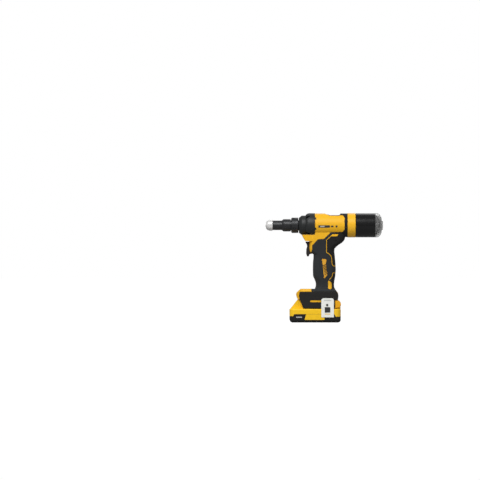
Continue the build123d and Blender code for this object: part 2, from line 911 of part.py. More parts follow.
palm_outline = collar_line + [(44.5, axis_height - 15.5)] + upper_accent + palm_end
lower_accent = [
    (60.0, foot_top + 37.8),
    (40.1, foot_top + 36.4),
    (39.2, foot_top + 30.7),
    (36.0, foot_top + 25.0),
    (31.7, foot_top + 21.1),
]
lower_pad = [
    (29.6, foot_top + 20.2),
    (29.2, foot_top + 1.5),
    (33.5, foot_top - 0.5),
    (37.6, foot_top + 1.5),
    (37.4, foot_top + 13.6),
    (33.5, foot_top + 17.7),
]
lower_palm = [
    (60.0, foot_top + 37.8),
    (40.1, foot_top + 36.4),
    (39.2, foot_top + 30.7),
    (37.4, foot_top + 13.6),
    (37.6, foot_top + 1.5),
    (60.0, foot_top + 1.5),
]
inlay_outline = [
    (14.8, foot_top + 68.3),
    (24.6, foot_top + 68.3),
    (26.0, foot_top + 64.9),
    (24.6, foot_top + 59.2),
    (26.0, foot_top + 41.4),
    (28.3, foot_top + 36.4),
    (27.1, foot_top + 30.7),
    (22.1, foot_top + 25.0),
    (18.2, foot_top + 24.8),
    (20.3, foot_top + 29.1),
    (18.9, foot_top + 37.3),
    (17.3, foot_top + 53.5),
    (15.7, foot_top + 64.2),
]


def line_sketch(points, width):
    # band of a given width along an open line of (x, z) points
    with BuildSketch(Plane.XZ) as band:
        with BuildLine():
            Polyline(points)
        trace(line_width=width)
        ends = [Vector(x, z) for x, z in (points[0], points[-1])]
        corners = band.vertices().filter_by(
            lambda spot: min((Vector(*spot) - end).length for end in ends) > width
        )
        fillet(corners, corner_round)
    return band.sketch


accent_lines = line_sketch(upper_accent, accent_width) + line_sketch(lower_accent, accent_width)
accent_lines += side_outline(
    [
        (38.8, axis_height - 20.4),
        (52.7, axis_height - 20.4),
        (50.4, axis_height - 25.0),
        (36.5, axis_height - 25.0),
    ]
)
accent_lines += side_outline(lower_pad, corner_round)
palm_area = side_outline(palm_outline, corner_round) + side_outline(lower_palm, corner_round) - accent_lines
inlay_area = side_outline(inlay_outline, corner_round)
grip_area = side_outline(cover_line + cover_floor + [(80.0, axis_height + 60)], corner_round)
grip_area -= palm_area + accent_lines

cover_skin = outer_form - seat_form


# Ribs that hold the bearings, ring gear and motor, and bosses for the housing screws
screw_way = screw_radius + 3.0
boss_radius = 3.4
screw_hole = 1.3
screw_shank = 1.25
head_hole = 2.9
head_radius = 2.7
head_length = 2.4
head_depth = 10.0
rib_floor = motor_height - 17.5
rib_places = [
    (rear_bearing_front, rear_bearing_width, rear_bearing_outer + fit_gap, ring_gear_radius + fit_gap),
    (front_motor_bearing, motor_bearing_width, screw_way, motor_bearing_outer + fit_gap),
    (motor_front + 2.0, 2.4, screw_way, motor_radius + fit_gap),
    (motor_rear - 5.0, 2.4, screw_way, motor_radius + fit_gap),
    (rear_motor_bearing, motor_bearing_width, screw_way, motor_bearing_outer + fit_gap),
]
boss_places = [
    (57.5, axis_height + 17.2),
    (60.0, axis_height - 17.5),
    (-17.0, axis_height - 28.4),
    (59.6, axis_height - 31.4),
    (6.0, foot_top + 62.0),
    (35.5, foot_top + 66.0),
    (9.0, foot_top + 10.0),
    (33.0, foot_top + 12.0),
]


def screw_places(radius):
    # a circle of the given radius at each housing screw, in the plane of symmetry
    with BuildSketch(Plane.XZ) as circles:
        with Locations(boss_places):
            Circle(radius)
    return circles.sketch


with BuildPart() as ribs:
    for front, width, upper_hole, lower_hole in rib_places:
        with BuildSketch(Plane.YZ.offset(front)) as rib:
            with Locations((0, rib_floor)):
                Rectangle(2 * barrel_radius, 90, align=(Align.CENTER, Align.MIN))
            with Locations((0, axis_height)):
                Circle(upper_hole, mode=Mode.SUBTRACT)
            with Locations((0, motor_height)):
                Circle(lower_hole, mode=Mode.SUBTRACT)
        extrude(amount=width)
    extrude(screw_places(boss_radius), amount=60)

with BuildPart() as cavity:
    add(cavity_form)
    add(ribs.part, mode=Mode.SUBTRACT)

# The two housing halves, with cheeks and rails under the foot for the battery
trigger_opening = trigger_width / 2 + 0.8
trigger_rear = -6.0
cheek_inner = rail_width / 2 + 0.6
rail_reach = 3.0
rail_low = 36.2
rail_high = 39.0
cheek_front = -24.0
cheek_rear = 44.0
cheek_low = 33.4
bar_length = 25.5
bar_height = 4.3
bar_middle = (0.8, 48.4)
terminal_width = 30.0
terminal_front = -9.0
terminal_rear = 20.0
light_plane = Plane(origin=(chin_front + 4.0, 0, chin_top - 6.8), x_dir=(0, 1, 0), z_dir=(-0.863, 0, -0.505))
light_radius = 3.0
adapter_bore = 22.5
with BuildPart() as openings:
    with BuildSketch(Plane.YZ.offset(-30)) as trigger_gap:
        with Locations((0, axis_height - 51.7)):
            Rectangle(2 * trigger_opening, 30.6)
    extrude(amount=30 + trigger_rear + trigger_travel)
    extrude(disc(body_rear - shell_wall - 1, adapter_bore), amount=shell_wall + 2)
    with BuildSketch(Plane.XY.offset(foot_floor - 1)) as terminal_gap:
        with Locations(((terminal_front + terminal_rear) / 2, 0)):
            Rectangle(terminal_rear - terminal_front + 0.4, terminal_width + 0.4)
    extrude(amount=shell_wall + 2)
    with BuildSketch(light_plane.offset(2)) as light_hole:
        Circle(light_radius + fit_gap)
    extrude(amount=-11)

with BuildPart() as foot_rails:
    with BuildSketch(Plane.XY.offset(cheek_low)) as cheek:
        with Locations(((cheek_front + cheek_rear) / 2, -(cheek_inner + foot_width / 2) / 2)):
            Rectangle(cheek_rear - cheek_front, foot_width / 2 - cheek_inner)
    extrude(amount=foot_floor - cheek_low + 1)
    with BuildSketch(Plane.XY.offset(rail_low)) as rail:
        with Locations(((cheek_front + cheek_rear) / 2, -cheek_inner + rail_reach / 2)):
            Rectangle(cheek_rear - cheek_front, rail_reach)
    extrude(amount=rail_high - rail_low)
    with BuildSketch(Plane.XZ.offset(foot_width / 2)) as bar:
        with Locations(bar_middle):
            SlotOverall(bar_length, bar_height)
    extrude(amount=panel_thickness - 0.5)

seat_cut = side_prism(grip_area + palm_area) - seat_form
with BuildPart() as housing_half:
    add(outer_form)
    add([cavity.part, openings.part, seat_cut], mode=Mode.SUBTRACT)
    add(foot_rails.part)

with BuildPart() as housing_left:
    add(housing_half.part)
    extrude(screw_places(screw_hole), amount=head_depth + 2, mode=Mode.SUBTRACT)
keep(housing_left, "housing_left")

with BuildPart() as screw_cuts:
    extrude(screw_places(screw_shank + fit_gap), amount=-60)
    with BuildSketch(Plane.XZ.offset(-head_depth)) as head_ways:
        with Locations(boss_places):
            Circle(head_hole)
    extrude(amount=-50)

with BuildPart() as housing_right:
    mirror(housing_half.part, about=Plane.XZ)
    add(screw_cuts.part, mode=Mode.SUBTRACT)
keep(housing_right, "housing_right")

with BuildPart() as housing_screws:
    extrude(screw_places(screw_shank), amount=-head_depth)
    extrude(screw_places(screw_shank), amount=head_depth)
    with BuildSketch(Plane.XZ.offset(-head_depth)) as heads:
        with Locations(boss_places):
            Circle(head_radius)
    extrude(amount=-head_length)
    with BuildSketch(Plane.XZ.offset(-head_depth - head_length)) as sockets:
        with Locations(boss_places):
            RegularPolygon(1.3, 6)
    extrude(amount=1.4, mode=Mode.SUBTRACT)
keep(housing_screws, "housing_screws")

# Rubber covers, one of each kind to a side, a hair smaller than their seats
cover_gap = 0.15


def cover_piece(area):
    # left cover: the skin of the housing inside a side outline
    fitted = side_prism(offset(area, amount=-cover_gap, kind=Kind.INTERSECTION))
    return cover_skin & fitted


for name, area in (("grip_cover", grip_area - inlay_area), ("palm_pad", palm_area)):
    with BuildPart() as cover:
        add(cover_piece(area))
        add(openings.part, mode=Mode.SUBTRACT)
    keep(cover, f"{name}_left")
    with BuildPart() as mirrored_cover:
        mirror(cover.part, about=Plane.XZ)
        extrude(screw_places(head_hole), amount=-60, mode=Mode.SUBTRACT)
    keep(mirrored_cover, f"{name}_right")

with BuildPart() as grip_inlays:
    add(cover_piece(inlay_area))
    mirror(about=Plane.XZ)
keep(grip_inlays, "grip_inlays")

# Side panels of the foot, which reach down beside the battery's rail block
panel_outline = [
    (-35.8, foot_top - 6.0),
    (-37.4, foot_floor + 7.2),
    (-34.4, foot_floor - 3.3),
    (-27.8, 33.1),
    (-23.5, 31.9),
    (43.9, 31.9),
    (44.4, foot_floor - 2.6),
    (foot_rear - 1.8, foot_floor - 2.4),
    (foot_rear - 0.7, foot_floor + 3.3),
    (foot_rear - 0.4, foot_floor + 9.0),
    (foot_rear - 2.0, foot_top - 8.6),
    (foot_rear - 4.4, foot_top - 6.0),
]
for name, side in (("foot_panel_left", -1), ("foot_panel_right", 1)):
    with BuildPart() as foot_panel:
        with BuildSketch(Plane.XZ.offset(-side * foot_width / 2)) as outline:
            with BuildLine():
                Polyline(panel_outline, close=True)
            make_face()
            fillet(outline.vertices(), 1.4)
            with Locations(bar_middle):
                SlotOverall(bar_length + 0.1, bar_height + 0.1, mode=Mode.SUBTRACT)
        extrude(amount=-side * panel_thickness)
        outer_face = foot_panel.faces().sort_by(Axis.Y)[-1 if side > 0 else 0]
        chamfer(outer_face.outer_wire().edges(), 0.6)
    keep(foot_panel, name)

# Trigger with its switch rod, return spring and switch
trigger_outline = [
    (-22.6, axis_height - 37.0),
    (-18.9, axis_height - 43.4),
    (-17.8, axis_height - 47.5),
    (-19.8, axis_height - 54.8),
    (-20.0, axis_height - 64.6),
    (-18.0, axis_height - 71.0),
    (-14.4, axis_height - 70.6),
    (-12.6, axis_height - 66.0),
    (trigger_rear, axis_height - 64.4),
    (trigger_rear, axis_height - 50.0),
    (-11.6, axis_height - 47.0),
    (-11.6, axis_height - 37.0),
]
spring_height = axis_height - 54.0
rod_height = axis_height - 60.5
spring_pocket = 8.0
switch_front = 0.8
switch_length = 23.0
switch_height = 14.4
switch_width = 16.0
rod_radius = 1.5
trigger_spring_wire = 0.4
trigger_spring_radius = 2.6
spring_pocket_radius = trigger_spring_radius + trigger_spring_wire + running_gap
with BuildPart() as trigger:
    extrude(side_outline(trigger_outline, trigger_round), amount=trigger_width / 2, both=True)
    front_edges = trigger.edges().filter_by(Axis.Y, reverse=True).filter_by(
        lambda edge: edge.center().X < -17.0 and edge.center().Z > axis_height - 71.5
    )
    fillet(front_edges, 2.2)
    extrude(disc(trigger_rear - 1, rod_radius, rod_height), amount=switch_front - trigger_rear + 3)
    pocket = disc(trigger_rear - spring_pocket, spring_pocket_radius, spring_height)
    extrude(pocket, amount=spring_pocket + 0.1, mode=Mode.SUBTRACT)
keep(trigger, "trigger")

trigger_spring_start = trigger_rear - spring_pocket + trigger_spring_wire + fit_gap
trigger_spring = coil_spring(
    (trigger_spring_start, 0, spring_height),
    (1, 0, 0),
    trigger_spring_radius,
    trigger_spring_wire,
    switch_front - trigger_spring_start - trigger_spring_wire - fit_gap,
    6,
)
keep(trigger_spring, "trigger_spring")

with BuildPart() as trigger_switch:
    with BuildSketch(Plane.YZ.offset(switch_front)) as switch_section:
        with Locations((0, axis_height - 56.2)):
            RectangleRounded(switch_width, switch_height, 1.5)
    extrude(amount=switch_length)
    rod_way = disc(switch_front, rod_radius + running_gap, rod_height)
    extrude(rod_way, amount=trigger_travel + 5, mode=Mode.SUBTRACT)
keep(trigger_switch, "trigger_switch")

# Work light in the slope of the chin
with BuildPart() as work_light:
    with BuildSketch(light_plane.offset(0.4)) as lens:
        Circle(light_radius)
    extrude(amount=-4.4)
    fillet(work_light.edges().sort_by(Axis.X)[0], 0.8)
keep(work_light, "work_light")

# Control board, terminal block and wiring in the foot and grip
board_height = foot_floor + shell_wall + 3.2
board_front = foot_front + 11.0
board_rear = foot_rear - 10.0
board_thickness = 1.6
with BuildPart() as control_board:
    with BuildSketch(Plane.XY.offset(board_height)) as board:
        with Locations(((board_front + board_rear) / 2, 0)):
            RectangleRounded(board_rear - board_front, foot_width - 18, 4)
    extrude(amount=board_thickness)
    with BuildSketch(Plane.XY.offset(board_height + board_thickness)) as components:
        with Locations((board_front + 8, 12), (board_front + 8, -12)):
            Rectangle(9, 7)
        with Locations((board_rear - 9, 12), (board_rear - 9, -12)):
            Circle(4)
    extrude(amount=4.5)
keep(control_board, "control_board")

terminal_blades = (-16.0, -6.0, 6.0, 16.0)
blade_thickness = 0.8
blade_front = -5.0
blade_length = 13.0
blade_low = 46.6
with BuildPart() as terminal_block:
    with BuildSketch(Plane.XY.offset(foot_floor)) as block_section:
        with Locations(((terminal_front + terminal_rear) / 2, 0)):
            RectangleRounded(terminal_rear - terminal_front, terminal_width + 8, 2)
            with Locations((0, terminal_width / 2 + 2.1), (0, -terminal_width / 2 - 2.1)):
                Rectangle(terminal_rear - terminal_front + 1, 4.2, mode=Mode.SUBTRACT)
    extrude(amount=board_height - foot_floor - 0.1)
    for place in terminal_blades:
        with BuildSketch(Plane.XY.offset(blade_low)) as blade:
            with Locations((blade_front + blade_length / 2, place * 0.8)):
                Rectangle(blade_length, blade_thickness)
        extrude(amount=foot_floor - blade_low)
keep(terminal_block, "terminal_block")

wire_radius = 1.0
wire_top = axis_height - 56.2 - switch_height / 2
with BuildPart() as wiring:
    for side, place in ((-1, 19.0), (1, 22.0)):
        with BuildSketch(Plane.XY.offset(board_height + board_thickness)) as wire:
            with Locations((place, side * 3.0)):
                Circle(wire_radius)
        extrude(amount=wire_top - board_height - board_thickness)
keep(wiring, "wiring")

# Lock ring, canister adapter, seal, canister and cap
lock_ring_bore = 22.8
with BuildPart() as lock_ring:
    revolve(
        half_profile(
            [
                (body_rear + 0.15, lock_ring_bore),
                (body_rear + 0.15, barrel_radius),
                (body_rear + 0.75, barrel_radius + 0.6),
                (ring_rear - 0.75, barrel_radius + 0.6),
                (ring_rear - 0.15, barrel_radius),
                (ring_rear - 0.15, lock_ring_bore),
            ],
            axis_height,
        ),
        axis=main_axis,
    )
keep(lock_ring, "lock_ring")

adapter_flange = plate_radius
adapter_tube = adapter_bore - 0.1
adapter_inner = 20.0
adapter_rear = ring_rear - 0.4
web_front = body_rear - shell_wall - 2.2
spigot_radius = adapter_inner - running_gap
with BuildPart() as canister_adapter:
    revolve(
        half_profile(
            [
                (web_front, guide_radius + fit_gap),
                (web_front, adapter_flange),
                (web_front + 2.0, adapter_flange),
                (web_front + 2.0, adapter_tube),
                (adapter_rear, adapter_tube),
                (adapter_rear, adapter_inner),
                (web_front + 4.0, adapter_inner),
                (web_front + 4.0, guide_radius + fit_gap),
            ],
            axis_height,
        ),
        axis=main_axis,
    )
keep(canister_adapter, "canister_adapter")

spigot_length = 10.0
spigot_wall = 2.2
groove_front = ring_rear - 6.0
groove_width = 2.2
groove_depth = 1.1
with BuildPart() as canister:
    revolve(
        half_profile(
            [
                (ring_rear - spigot_length, spigot_radius - spigot_wall),
                (ring_rear - spigot_length, spigot_radius),
                (groove_front, spigot_radius),
                (groove_front, spigot_radius - groove_depth),
                (groove_front + groove_width, spigot_radius - groove_depth),
                (groove_front + groove_width, spigot_radius),
                (ring_rear, spigot_radius),
                (ring_rear, rear_radius - 0.8),
                (ring_rear + 0.8, rear_radius),
                (canister_rear, rear_radius),
                (canister_rear, rear_radius - canister_wall),
                (ring_rear + canister_wall, rear_radius - canister_wall),
                (ring_rear + canister_wall, spigot_radius - spigot_wall),
            ],
            axis_height,
        ),
        axis=main_axis,
    )
keep(canister, "canister")

seal_radius = 0.6
seal_centre = spigot_radius - groove_depth + seal_radius + fit_gap
with BuildPart() as canister_seal:
    with BuildSketch(Plane.XZ) as seal_section:
        with Locations((groove_front + groove_width / 2, axis_height + seal_centre)):
            Circle(seal_radius)
    revolve(axis=main_axis)
keep(canister_seal, "canister_seal")

cap_wall = 1.8
cap_neck = 5.0
cap_shoulder = 6.1
cap_face_radius = 12.5
knob_radius = 10.0
with BuildPart() as canister_cap:
    with BuildSketch(Plane.XZ) as cap_section:
        with BuildLine():
            inner_neck = rear_radius - canister_wall - fit_gap
            Polyline(
                (cap_rear - cap_wall, axis_height),
                (knob_rear - 0.6, axis_height),
                (knob_rear - 0.6, axis_height + knob_radius - 3.0),
                (knob_rear, axis_height + knob_radius - 2.2),
                (knob_rear, axis_height + knob_radius - 0.6),
                (knob_rear - 0.6, axis_height + knob_radius),
                (cap_rear, axis_height + knob_radius + 0.3),
                (cap_rear, axis_height + cap_face_radius),
            )
            ThreePointArc(
                (cap_rear, axis_height + cap_face_radius),
                (canister_rear + cap_shoulder + 6.2, axis_height + rear_radius - 5.1),
                (canister_rear + cap_shoulder, axis_height + rear_radius),
            )
            Polyline(
                (canister_rear + cap_shoulder, axis_height + rear_radius),
                (canister_rear, axis_height + rear_radius),
                (canister_rear, axis_height + inner_neck),
                (canister_rear - cap_neck, axis_height + inner_neck),
                (canister_rear - cap_neck, axis_height + inner_neck - cap_wall),
                (canister_rear + cap_shoulder - 0.6, axis_height + inner_neck - cap_wall),
            )
            ThreePointArc(
                (canister_rear + cap_shoulder - 0.6, axis_height + inner_neck - cap_wall),
                (canister_rear + cap_shoulder + 4.6, axis_height + rear_radius - 8.2),
                (cap_rear - cap_wall, axis_height + cap_face_radius - 1),
            )
            Line(
                (cap_rear - cap_wall, axis_height + cap_face_radius - 1),
                (cap_rear - cap_wall, axis_height),
            )
        make_face()
    revolve(axis=main_axis)
keep(canister_cap, "canister_cap")

# Battery: lower case, upper case with its rail block, cells, board, latches and gauge
battery_base_round = 6.5
battery_top_round = 2.6
side_split = battery_split + 4.6
parting = [
    (-60.0, -1.0),
    (-60.0, battery_split),
    (-50.5, battery_split),
    (-48.0, side_split),
    (43.0, side_split),
    (46.5, battery_split - 1.1),
    (60.0, battery_split - 1.1),
    (60.0, -1.0),
]
rail_front_low = -54.7
rail_front_high = -39.2
rail_step = -30.0
rail_rear = cheek_rear + 0.4
tail_rear = 57.4
tail_width = 52.0
tail_top = 50.0
tail_round = 5.5
slot_width = 2.4
slot_floor = 44.0


def battery_block(low, high, inset=0.0):
    # rounded block of the battery's plan between two heights, drawn in by an inset
    with BuildSketch(Plane.XY.offset(low)) as plan:
        RectangleRounded(battery_length - 2 * inset, battery_width - 2 * inset, battery_corner - inset)
    return extrude(plan.sketch, amount=high - low, mode=Mode.PRIVATE)


with BuildPart() as battery_body:
    add(battery_block(0, battery_top_height))
    fillet(battery_body.faces().sort_by(Axis.Z)[0].edges(), battery_base_round)
    fillet(battery_body.faces().sort_by(Axis.Z)[-1].edges(), battery_top_round)

split_prism = side_prism(side_outline(parting))

with BuildPart() as battery_base:
    add(battery_body.part)
    add(split_prism, mode=Mode.INTERSECT)
    add(battery_block(battery_wall, battery_top_height, battery_wall), mode=Mode.SUBTRACT)
keep(battery_base, "battery_base")

with BuildPart() as battery_top:
    add(battery_body.part)
    add(split_prism, mode=Mode.SUBTRACT)
    with BuildSketch(Plane.XZ) as front_block:
        with BuildLine():
            Polyline(
                (rail_front_low, battery_top_height - 1),
                (rail_front_low, battery_top_height + 1.4),
                (rail_front_high, rail_top),
                (rail_step, rail_top),
                (rail_step, battery_top_height - 1),
                close=True,
            )
        make_face()
    extrude(amount=rail_front_width / 2, both=True)
    with BuildSketch(Plane.YZ.offset(rail_step)) as rail_section:
        with Locations((0, battery_top_height - 1)):
            Rectangle(rail_width, rail_top - battery_top_height + 1, align=(Align.CENTER, Align.MIN))
        groove_middle = (rail_low + rail_high) / 2
        for side in (-1, 1):
            with Locations((side * rail_width / 2, groove_middle)):
                Rectangle(2 * rail_reach, rail_high - rail_low + 1.2, mode=Mode.SUBTRACT)
    extrude(amount=rail_rear - rail_step)
    with BuildSketch(Plane.YZ.offset(rail_rear)) as tail_section:
        with Locations((0, battery_top_height - 1)):
            Rectangle(tail_width, tail_top - battery_top_height + 1, align=(Align.CENTER, Align.MIN))
    extrude(amount=tail_rear - rail_rear)
    tail_edge = battery_top.edges().filter_by(Axis.Y).sort_by(
        lambda edge: edge.center().X + edge.center().Z
    )[-1]
    fillet(tail_edge, tail_round)
    add(battery_block(battery_wall, battery_top_height - battery_wall, battery_wall), mode=Mode.SUBTRACT)
    with BuildSketch(Plane.XY.offset(battery_top_height - 4)) as block_room:
        with Locations(((rail_step + rail_rear) / 2, 0)):
            Rectangle(rail_rear - rail_step - 6, rail_width - 2 * rail_reach - 5)
    extrude(amount=slot_floor - 2 - battery_top_height + 4, mode=Mode.SUBTRACT)
    for place in terminal_blades:
        with BuildSketch(Plane.XZ.offset(-place * 0.8)) as slot:
            with BuildLine():
                Polyline(
                    (-60, slot_floor),
                    (2, slot_floor),
                    (2, battery_top_height - 3),
                    (12, battery_top_height - 3),
                    (12, rail_top + 1),
                    (-60, rail_top + 1),
                    close=True,
                )
            make_face()
        extrude(amount=slot_width / 2, both=True, mode=Mode.SUBTRACT)
    latch_axis = (51.4, 41.4)
    pocket_radius = 4.4
    pocket_floor = 16.0
    for side in (-1, 1):
        with BuildSketch(Plane.XZ.offset(-side * pocket_floor)) as pocket:
            with Locations(latch_axis):
                Circle(pocket_radius)
        extrude(amount=-side * 20, mode=Mode.SUBTRACT)
keep(battery_top, "battery_top")

with BuildPart() as battery_cells:
    for place in range(cell_count):
        middle = (place - (cell_count - 1) / 2) * (2 * cell_radius + 0.3)
        with BuildSketch(Plane.XZ) as cell:
            with Locations((middle, battery_wall + cell_radius + fit_gap)):
                Circle(cell_radius)
        extrude(amount=cell_length / 2, both=True)
keep(battery_cells, "battery_cells")

pack_board_low = battery_wall + 2 * cell_radius + 0.3
clip_front = 4.0
clip_length = 6.0
clip_thickness = 0.5
clip_offset = blade_thickness / 2 + 0.35
with BuildPart() as pack_board:
    with BuildSketch(Plane.XY.offset(pack_board_low)) as board:
        RectangleRounded(84, 50, 3)
    extrude(amount=board_thickness)
    for place in terminal_blades:
        for side in (-1, 1):
            with BuildSketch(Plane.XY.offset(pack_board_low + board_thickness)) as leaf:
                with Locations((clip_front + clip_length / 2, place * 0.8 + side * clip_offset)):
                    Rectangle(clip_length, clip_thickness)
            extrude(amount=rail_top - 1.5 - pack_board_low - board_thickness)
keep(pack_board, "pack_board")

latch_travel = 2.5
latch_inner = tail_width / 2 + latch_travel + 0.5
latch_thickness = 4.6
stem_radius = pocket_radius - running_gap
stem_end = pocket_floor + 4.6
latch_outline_front = 45.0
latch_outline_rear = 58.4
latch_low = 33.2
latch_high = 49.6
for name, side in (("left", -1), ("right", 1)):
    with BuildPart() as latch_button:
        with BuildSketch(Plane.XZ.offset(-side * latch_inner)) as plate_sketch:
            with BuildLine():
                half = (latch_high - latch_low) / 2
                middle_height = (latch_high + latch_low) / 2
                Polyline(
                    (latch_outline_rear - half + 1.5, latch_high),
                    (latch_outline_front, latch_high),
                    (latch_outline_front, latch_low),
                    (latch_outline_rear - half + 1.5, latch_low),
                )
                ThreePointArc(
                    (latch_outline_rear - half + 1.5, latch_low),
                    (latch_outline_rear, middle_height),
                    (latch_outline_rear - half + 1.5, latch_high),
                )
            make_face()
        extrude(amount=-side * latch_thickness)
        chamfer(latch_button.faces().sort_by(Axis.Y)[-1 if side > 0 else 0].edges(), 0.9)
        with BuildSketch(Plane.XZ.offset(-side * stem_end)) as stem:
            with Locations(latch_axis):
                Circle(stem_radius)
        extrude(amount=-side * (latch_inner - stem_end + 1))
    keep(latch_button, f"latch_button_{name}")
    latch_spring_wire = 0.35
    keep(
        coil_spring(
            (latch_axis[0], side * (pocket_floor + latch_spring_wire + fit_gap), latch_axis[1]),
            (0, side, 0),
            3.2,
            latch_spring_wire,
            stem_end - pocket_floor - 2 * latch_spring_wire - 2 * fit_gap,
            2,
        ),
        f"latch_spring_{name}",
    )

# Hang tag on its rivet beside the foot
tag_pivot = (26.7, 40.0)
tag_left = 13.5
tag_right = 42.0
tag_low = 12.1
tag_high = 55.4
tag_corner = 5.0
tag_plane = battery_width / 2 + 0.7
tag_thickness = 0.7
rivet_radius = 1.6
with BuildPart() as hang_tag:
    with BuildSketch(Plane.XZ.offset(tag_plane)) as card:
        with Locations(((tag_left + tag_right) / 2, (tag_low + tag_high) / 2)):
            Rectangle(tag_right - tag_left, tag_high - tag_low)
        fillet(card.vertices().group_by(Axis.Y)[-1], tag_corner)
        with Locations(tag_pivot):
            Circle(rivet_radius + 0.15, mode=Mode.SUBTRACT)
    extrude(amount=tag_thickness)
keep(hang_tag, "hang_tag")

rivet_base = foot_width / 2 + panel_thickness
with BuildPart() as tag_rivet:
    with BuildSketch(Plane.XZ.offset(rivet_base)) as collar:
        with Locations(tag_pivot):
            Circle(rivet_radius + 1.2)
    extrude(amount=tag_plane - rivet_base - 0.2)
    with BuildSketch(Plane.XZ.offset(rivet_base)) as shank:
        with Locations(tag_pivot):
            Circle(rivet_radius)
    extrude(amount=tag_plane + tag_thickness + 0.3 - rivet_base)
    with BuildSketch(Plane.XZ.offset(tag_plane + tag_thickness + 0.2)) as head:
        with Locations(tag_pivot):
            Circle(rivet_radius + 0.8)
    extrude(amount=0.9)
keep(tag_rivet, "tag_rivet")
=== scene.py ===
import bpy, bmesh, json, math
import numpy as np
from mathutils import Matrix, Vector
from mathutils.bvhtree import BVHTree

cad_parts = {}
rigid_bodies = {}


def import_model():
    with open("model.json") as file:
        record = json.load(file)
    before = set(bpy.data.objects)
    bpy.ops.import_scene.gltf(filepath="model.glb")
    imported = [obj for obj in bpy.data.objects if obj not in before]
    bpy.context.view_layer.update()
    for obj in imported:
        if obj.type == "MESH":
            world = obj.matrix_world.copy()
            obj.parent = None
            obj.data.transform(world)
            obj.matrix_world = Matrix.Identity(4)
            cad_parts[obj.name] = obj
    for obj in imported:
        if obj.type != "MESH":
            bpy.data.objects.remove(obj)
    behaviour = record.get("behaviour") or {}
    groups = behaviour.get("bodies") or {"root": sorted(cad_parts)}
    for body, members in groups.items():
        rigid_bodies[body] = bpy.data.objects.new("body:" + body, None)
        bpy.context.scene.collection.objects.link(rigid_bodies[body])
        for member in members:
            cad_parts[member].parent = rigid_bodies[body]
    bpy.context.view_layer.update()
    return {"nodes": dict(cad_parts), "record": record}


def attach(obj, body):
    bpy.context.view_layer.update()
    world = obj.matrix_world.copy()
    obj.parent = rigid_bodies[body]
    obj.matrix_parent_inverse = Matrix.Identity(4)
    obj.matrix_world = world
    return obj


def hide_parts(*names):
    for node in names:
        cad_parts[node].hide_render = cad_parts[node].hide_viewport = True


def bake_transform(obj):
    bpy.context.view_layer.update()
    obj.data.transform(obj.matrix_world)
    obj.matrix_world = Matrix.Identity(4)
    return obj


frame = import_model()
nodes = frame["nodes"]
joints = frame["record"]["behaviour"]["joints"]
bodyOf = {node: body for body, names in frame["record"]["behaviour"]["bodies"].items() for node in names}
print("stage: packed model loaded,", len(nodes), "nodes")


# small tools shared by every piece

def linear(hexColour):
    # sRGB hex to the linear numbers that shaders take: ((c + 0.055) / 1.055) ** 2.4, or c / 12.92 when dark
    code = hexColour.lstrip("#")
    srgb = np.array([int(code[i:i + 2], 16) for i in (0, 2, 4)]) / 255
    values = np.where(srgb <= 0.04045, srgb / 12.92, ((srgb + 0.055) / 1.055) ** 2.4)
    return (*values.tolist(), 1.0)


def addNode(tree, kind, values=None, links=None, **settings):
    node = tree.nodes.new(kind)
    for name, value in settings.items():
        setattr(node, name, value)
    for socket, value in (values or {}).items():
        node.inputs[socket].default_value = value
    for socket, source in (links or {}).items():
        tree.links.new(source, node.inputs[socket])
    return node


def addObject(name, data):
    item = bpy.data.objects.new(name, data)
    bpy.context.scene.collection.objects.link(item)
    return item


def addShaded(name, mesh, material, sharpAngle):
    # object whose faces shade as one surface, except across edges that bend more than the angle in degrees
    mesh.polygons.foreach_set("use_smooth", [True] * len(mesh.polygons))
    mesh.set_sharp_from_angle(angle=math.radians(sharpAngle))
    mesh.materials.append(material)
    return addObject(name, mesh)


def surfaceMesh(name, points, closed=False):
    # points is a (rows, columns, 3) grid: quads join each point with its neighbours, and closed joins the last
    # column with the first
    rows, columns = points.shape[:2]
    index = np.arange(rows * columns).reshape(rows, columns)
    low, high = index[:-1], index[1:]
    if closed:
        corners = [low, np.roll(low, -1, axis=1), np.roll(high, -1, axis=1), high]
    else:
        corners = [low[:, :-1], low[:, 1:], high[:, 1:], high[:, :-1]]
    faces = np.stack(corners, axis=-1).reshape(-1, 4)
    mesh = bpy.data.meshes.new(name)
    mesh.from_pydata(points.reshape(-1, 3).tolist(), [], faces.tolist())
    return mesh


def addPiece(name, mesh, body, material, sharpAngle=35.0):
    # welds the mesh, turns its faces outwards and lets it ride on its body
    work = bmesh.new()
    work.from_mesh(mesh)
    bmesh.ops.remove_doubles(work, verts=work.verts, dist=1e-6)
    bmesh.ops.dissolve_degenerate(work, edges=work.edges, dist=1e-7)
    bmesh.ops.recalc_face_normals(work, faces=work.faces)
    work.to_mesh(mesh)
    work.free()
    piece = addShaded(name, mesh, material, sharpAngle)
    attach(piece, body)
    return piece


relaxing = {"sharpAngle": 28.0, "longest": 0.0032, "halvings": 5, "shares": (0.5, -0.52)}


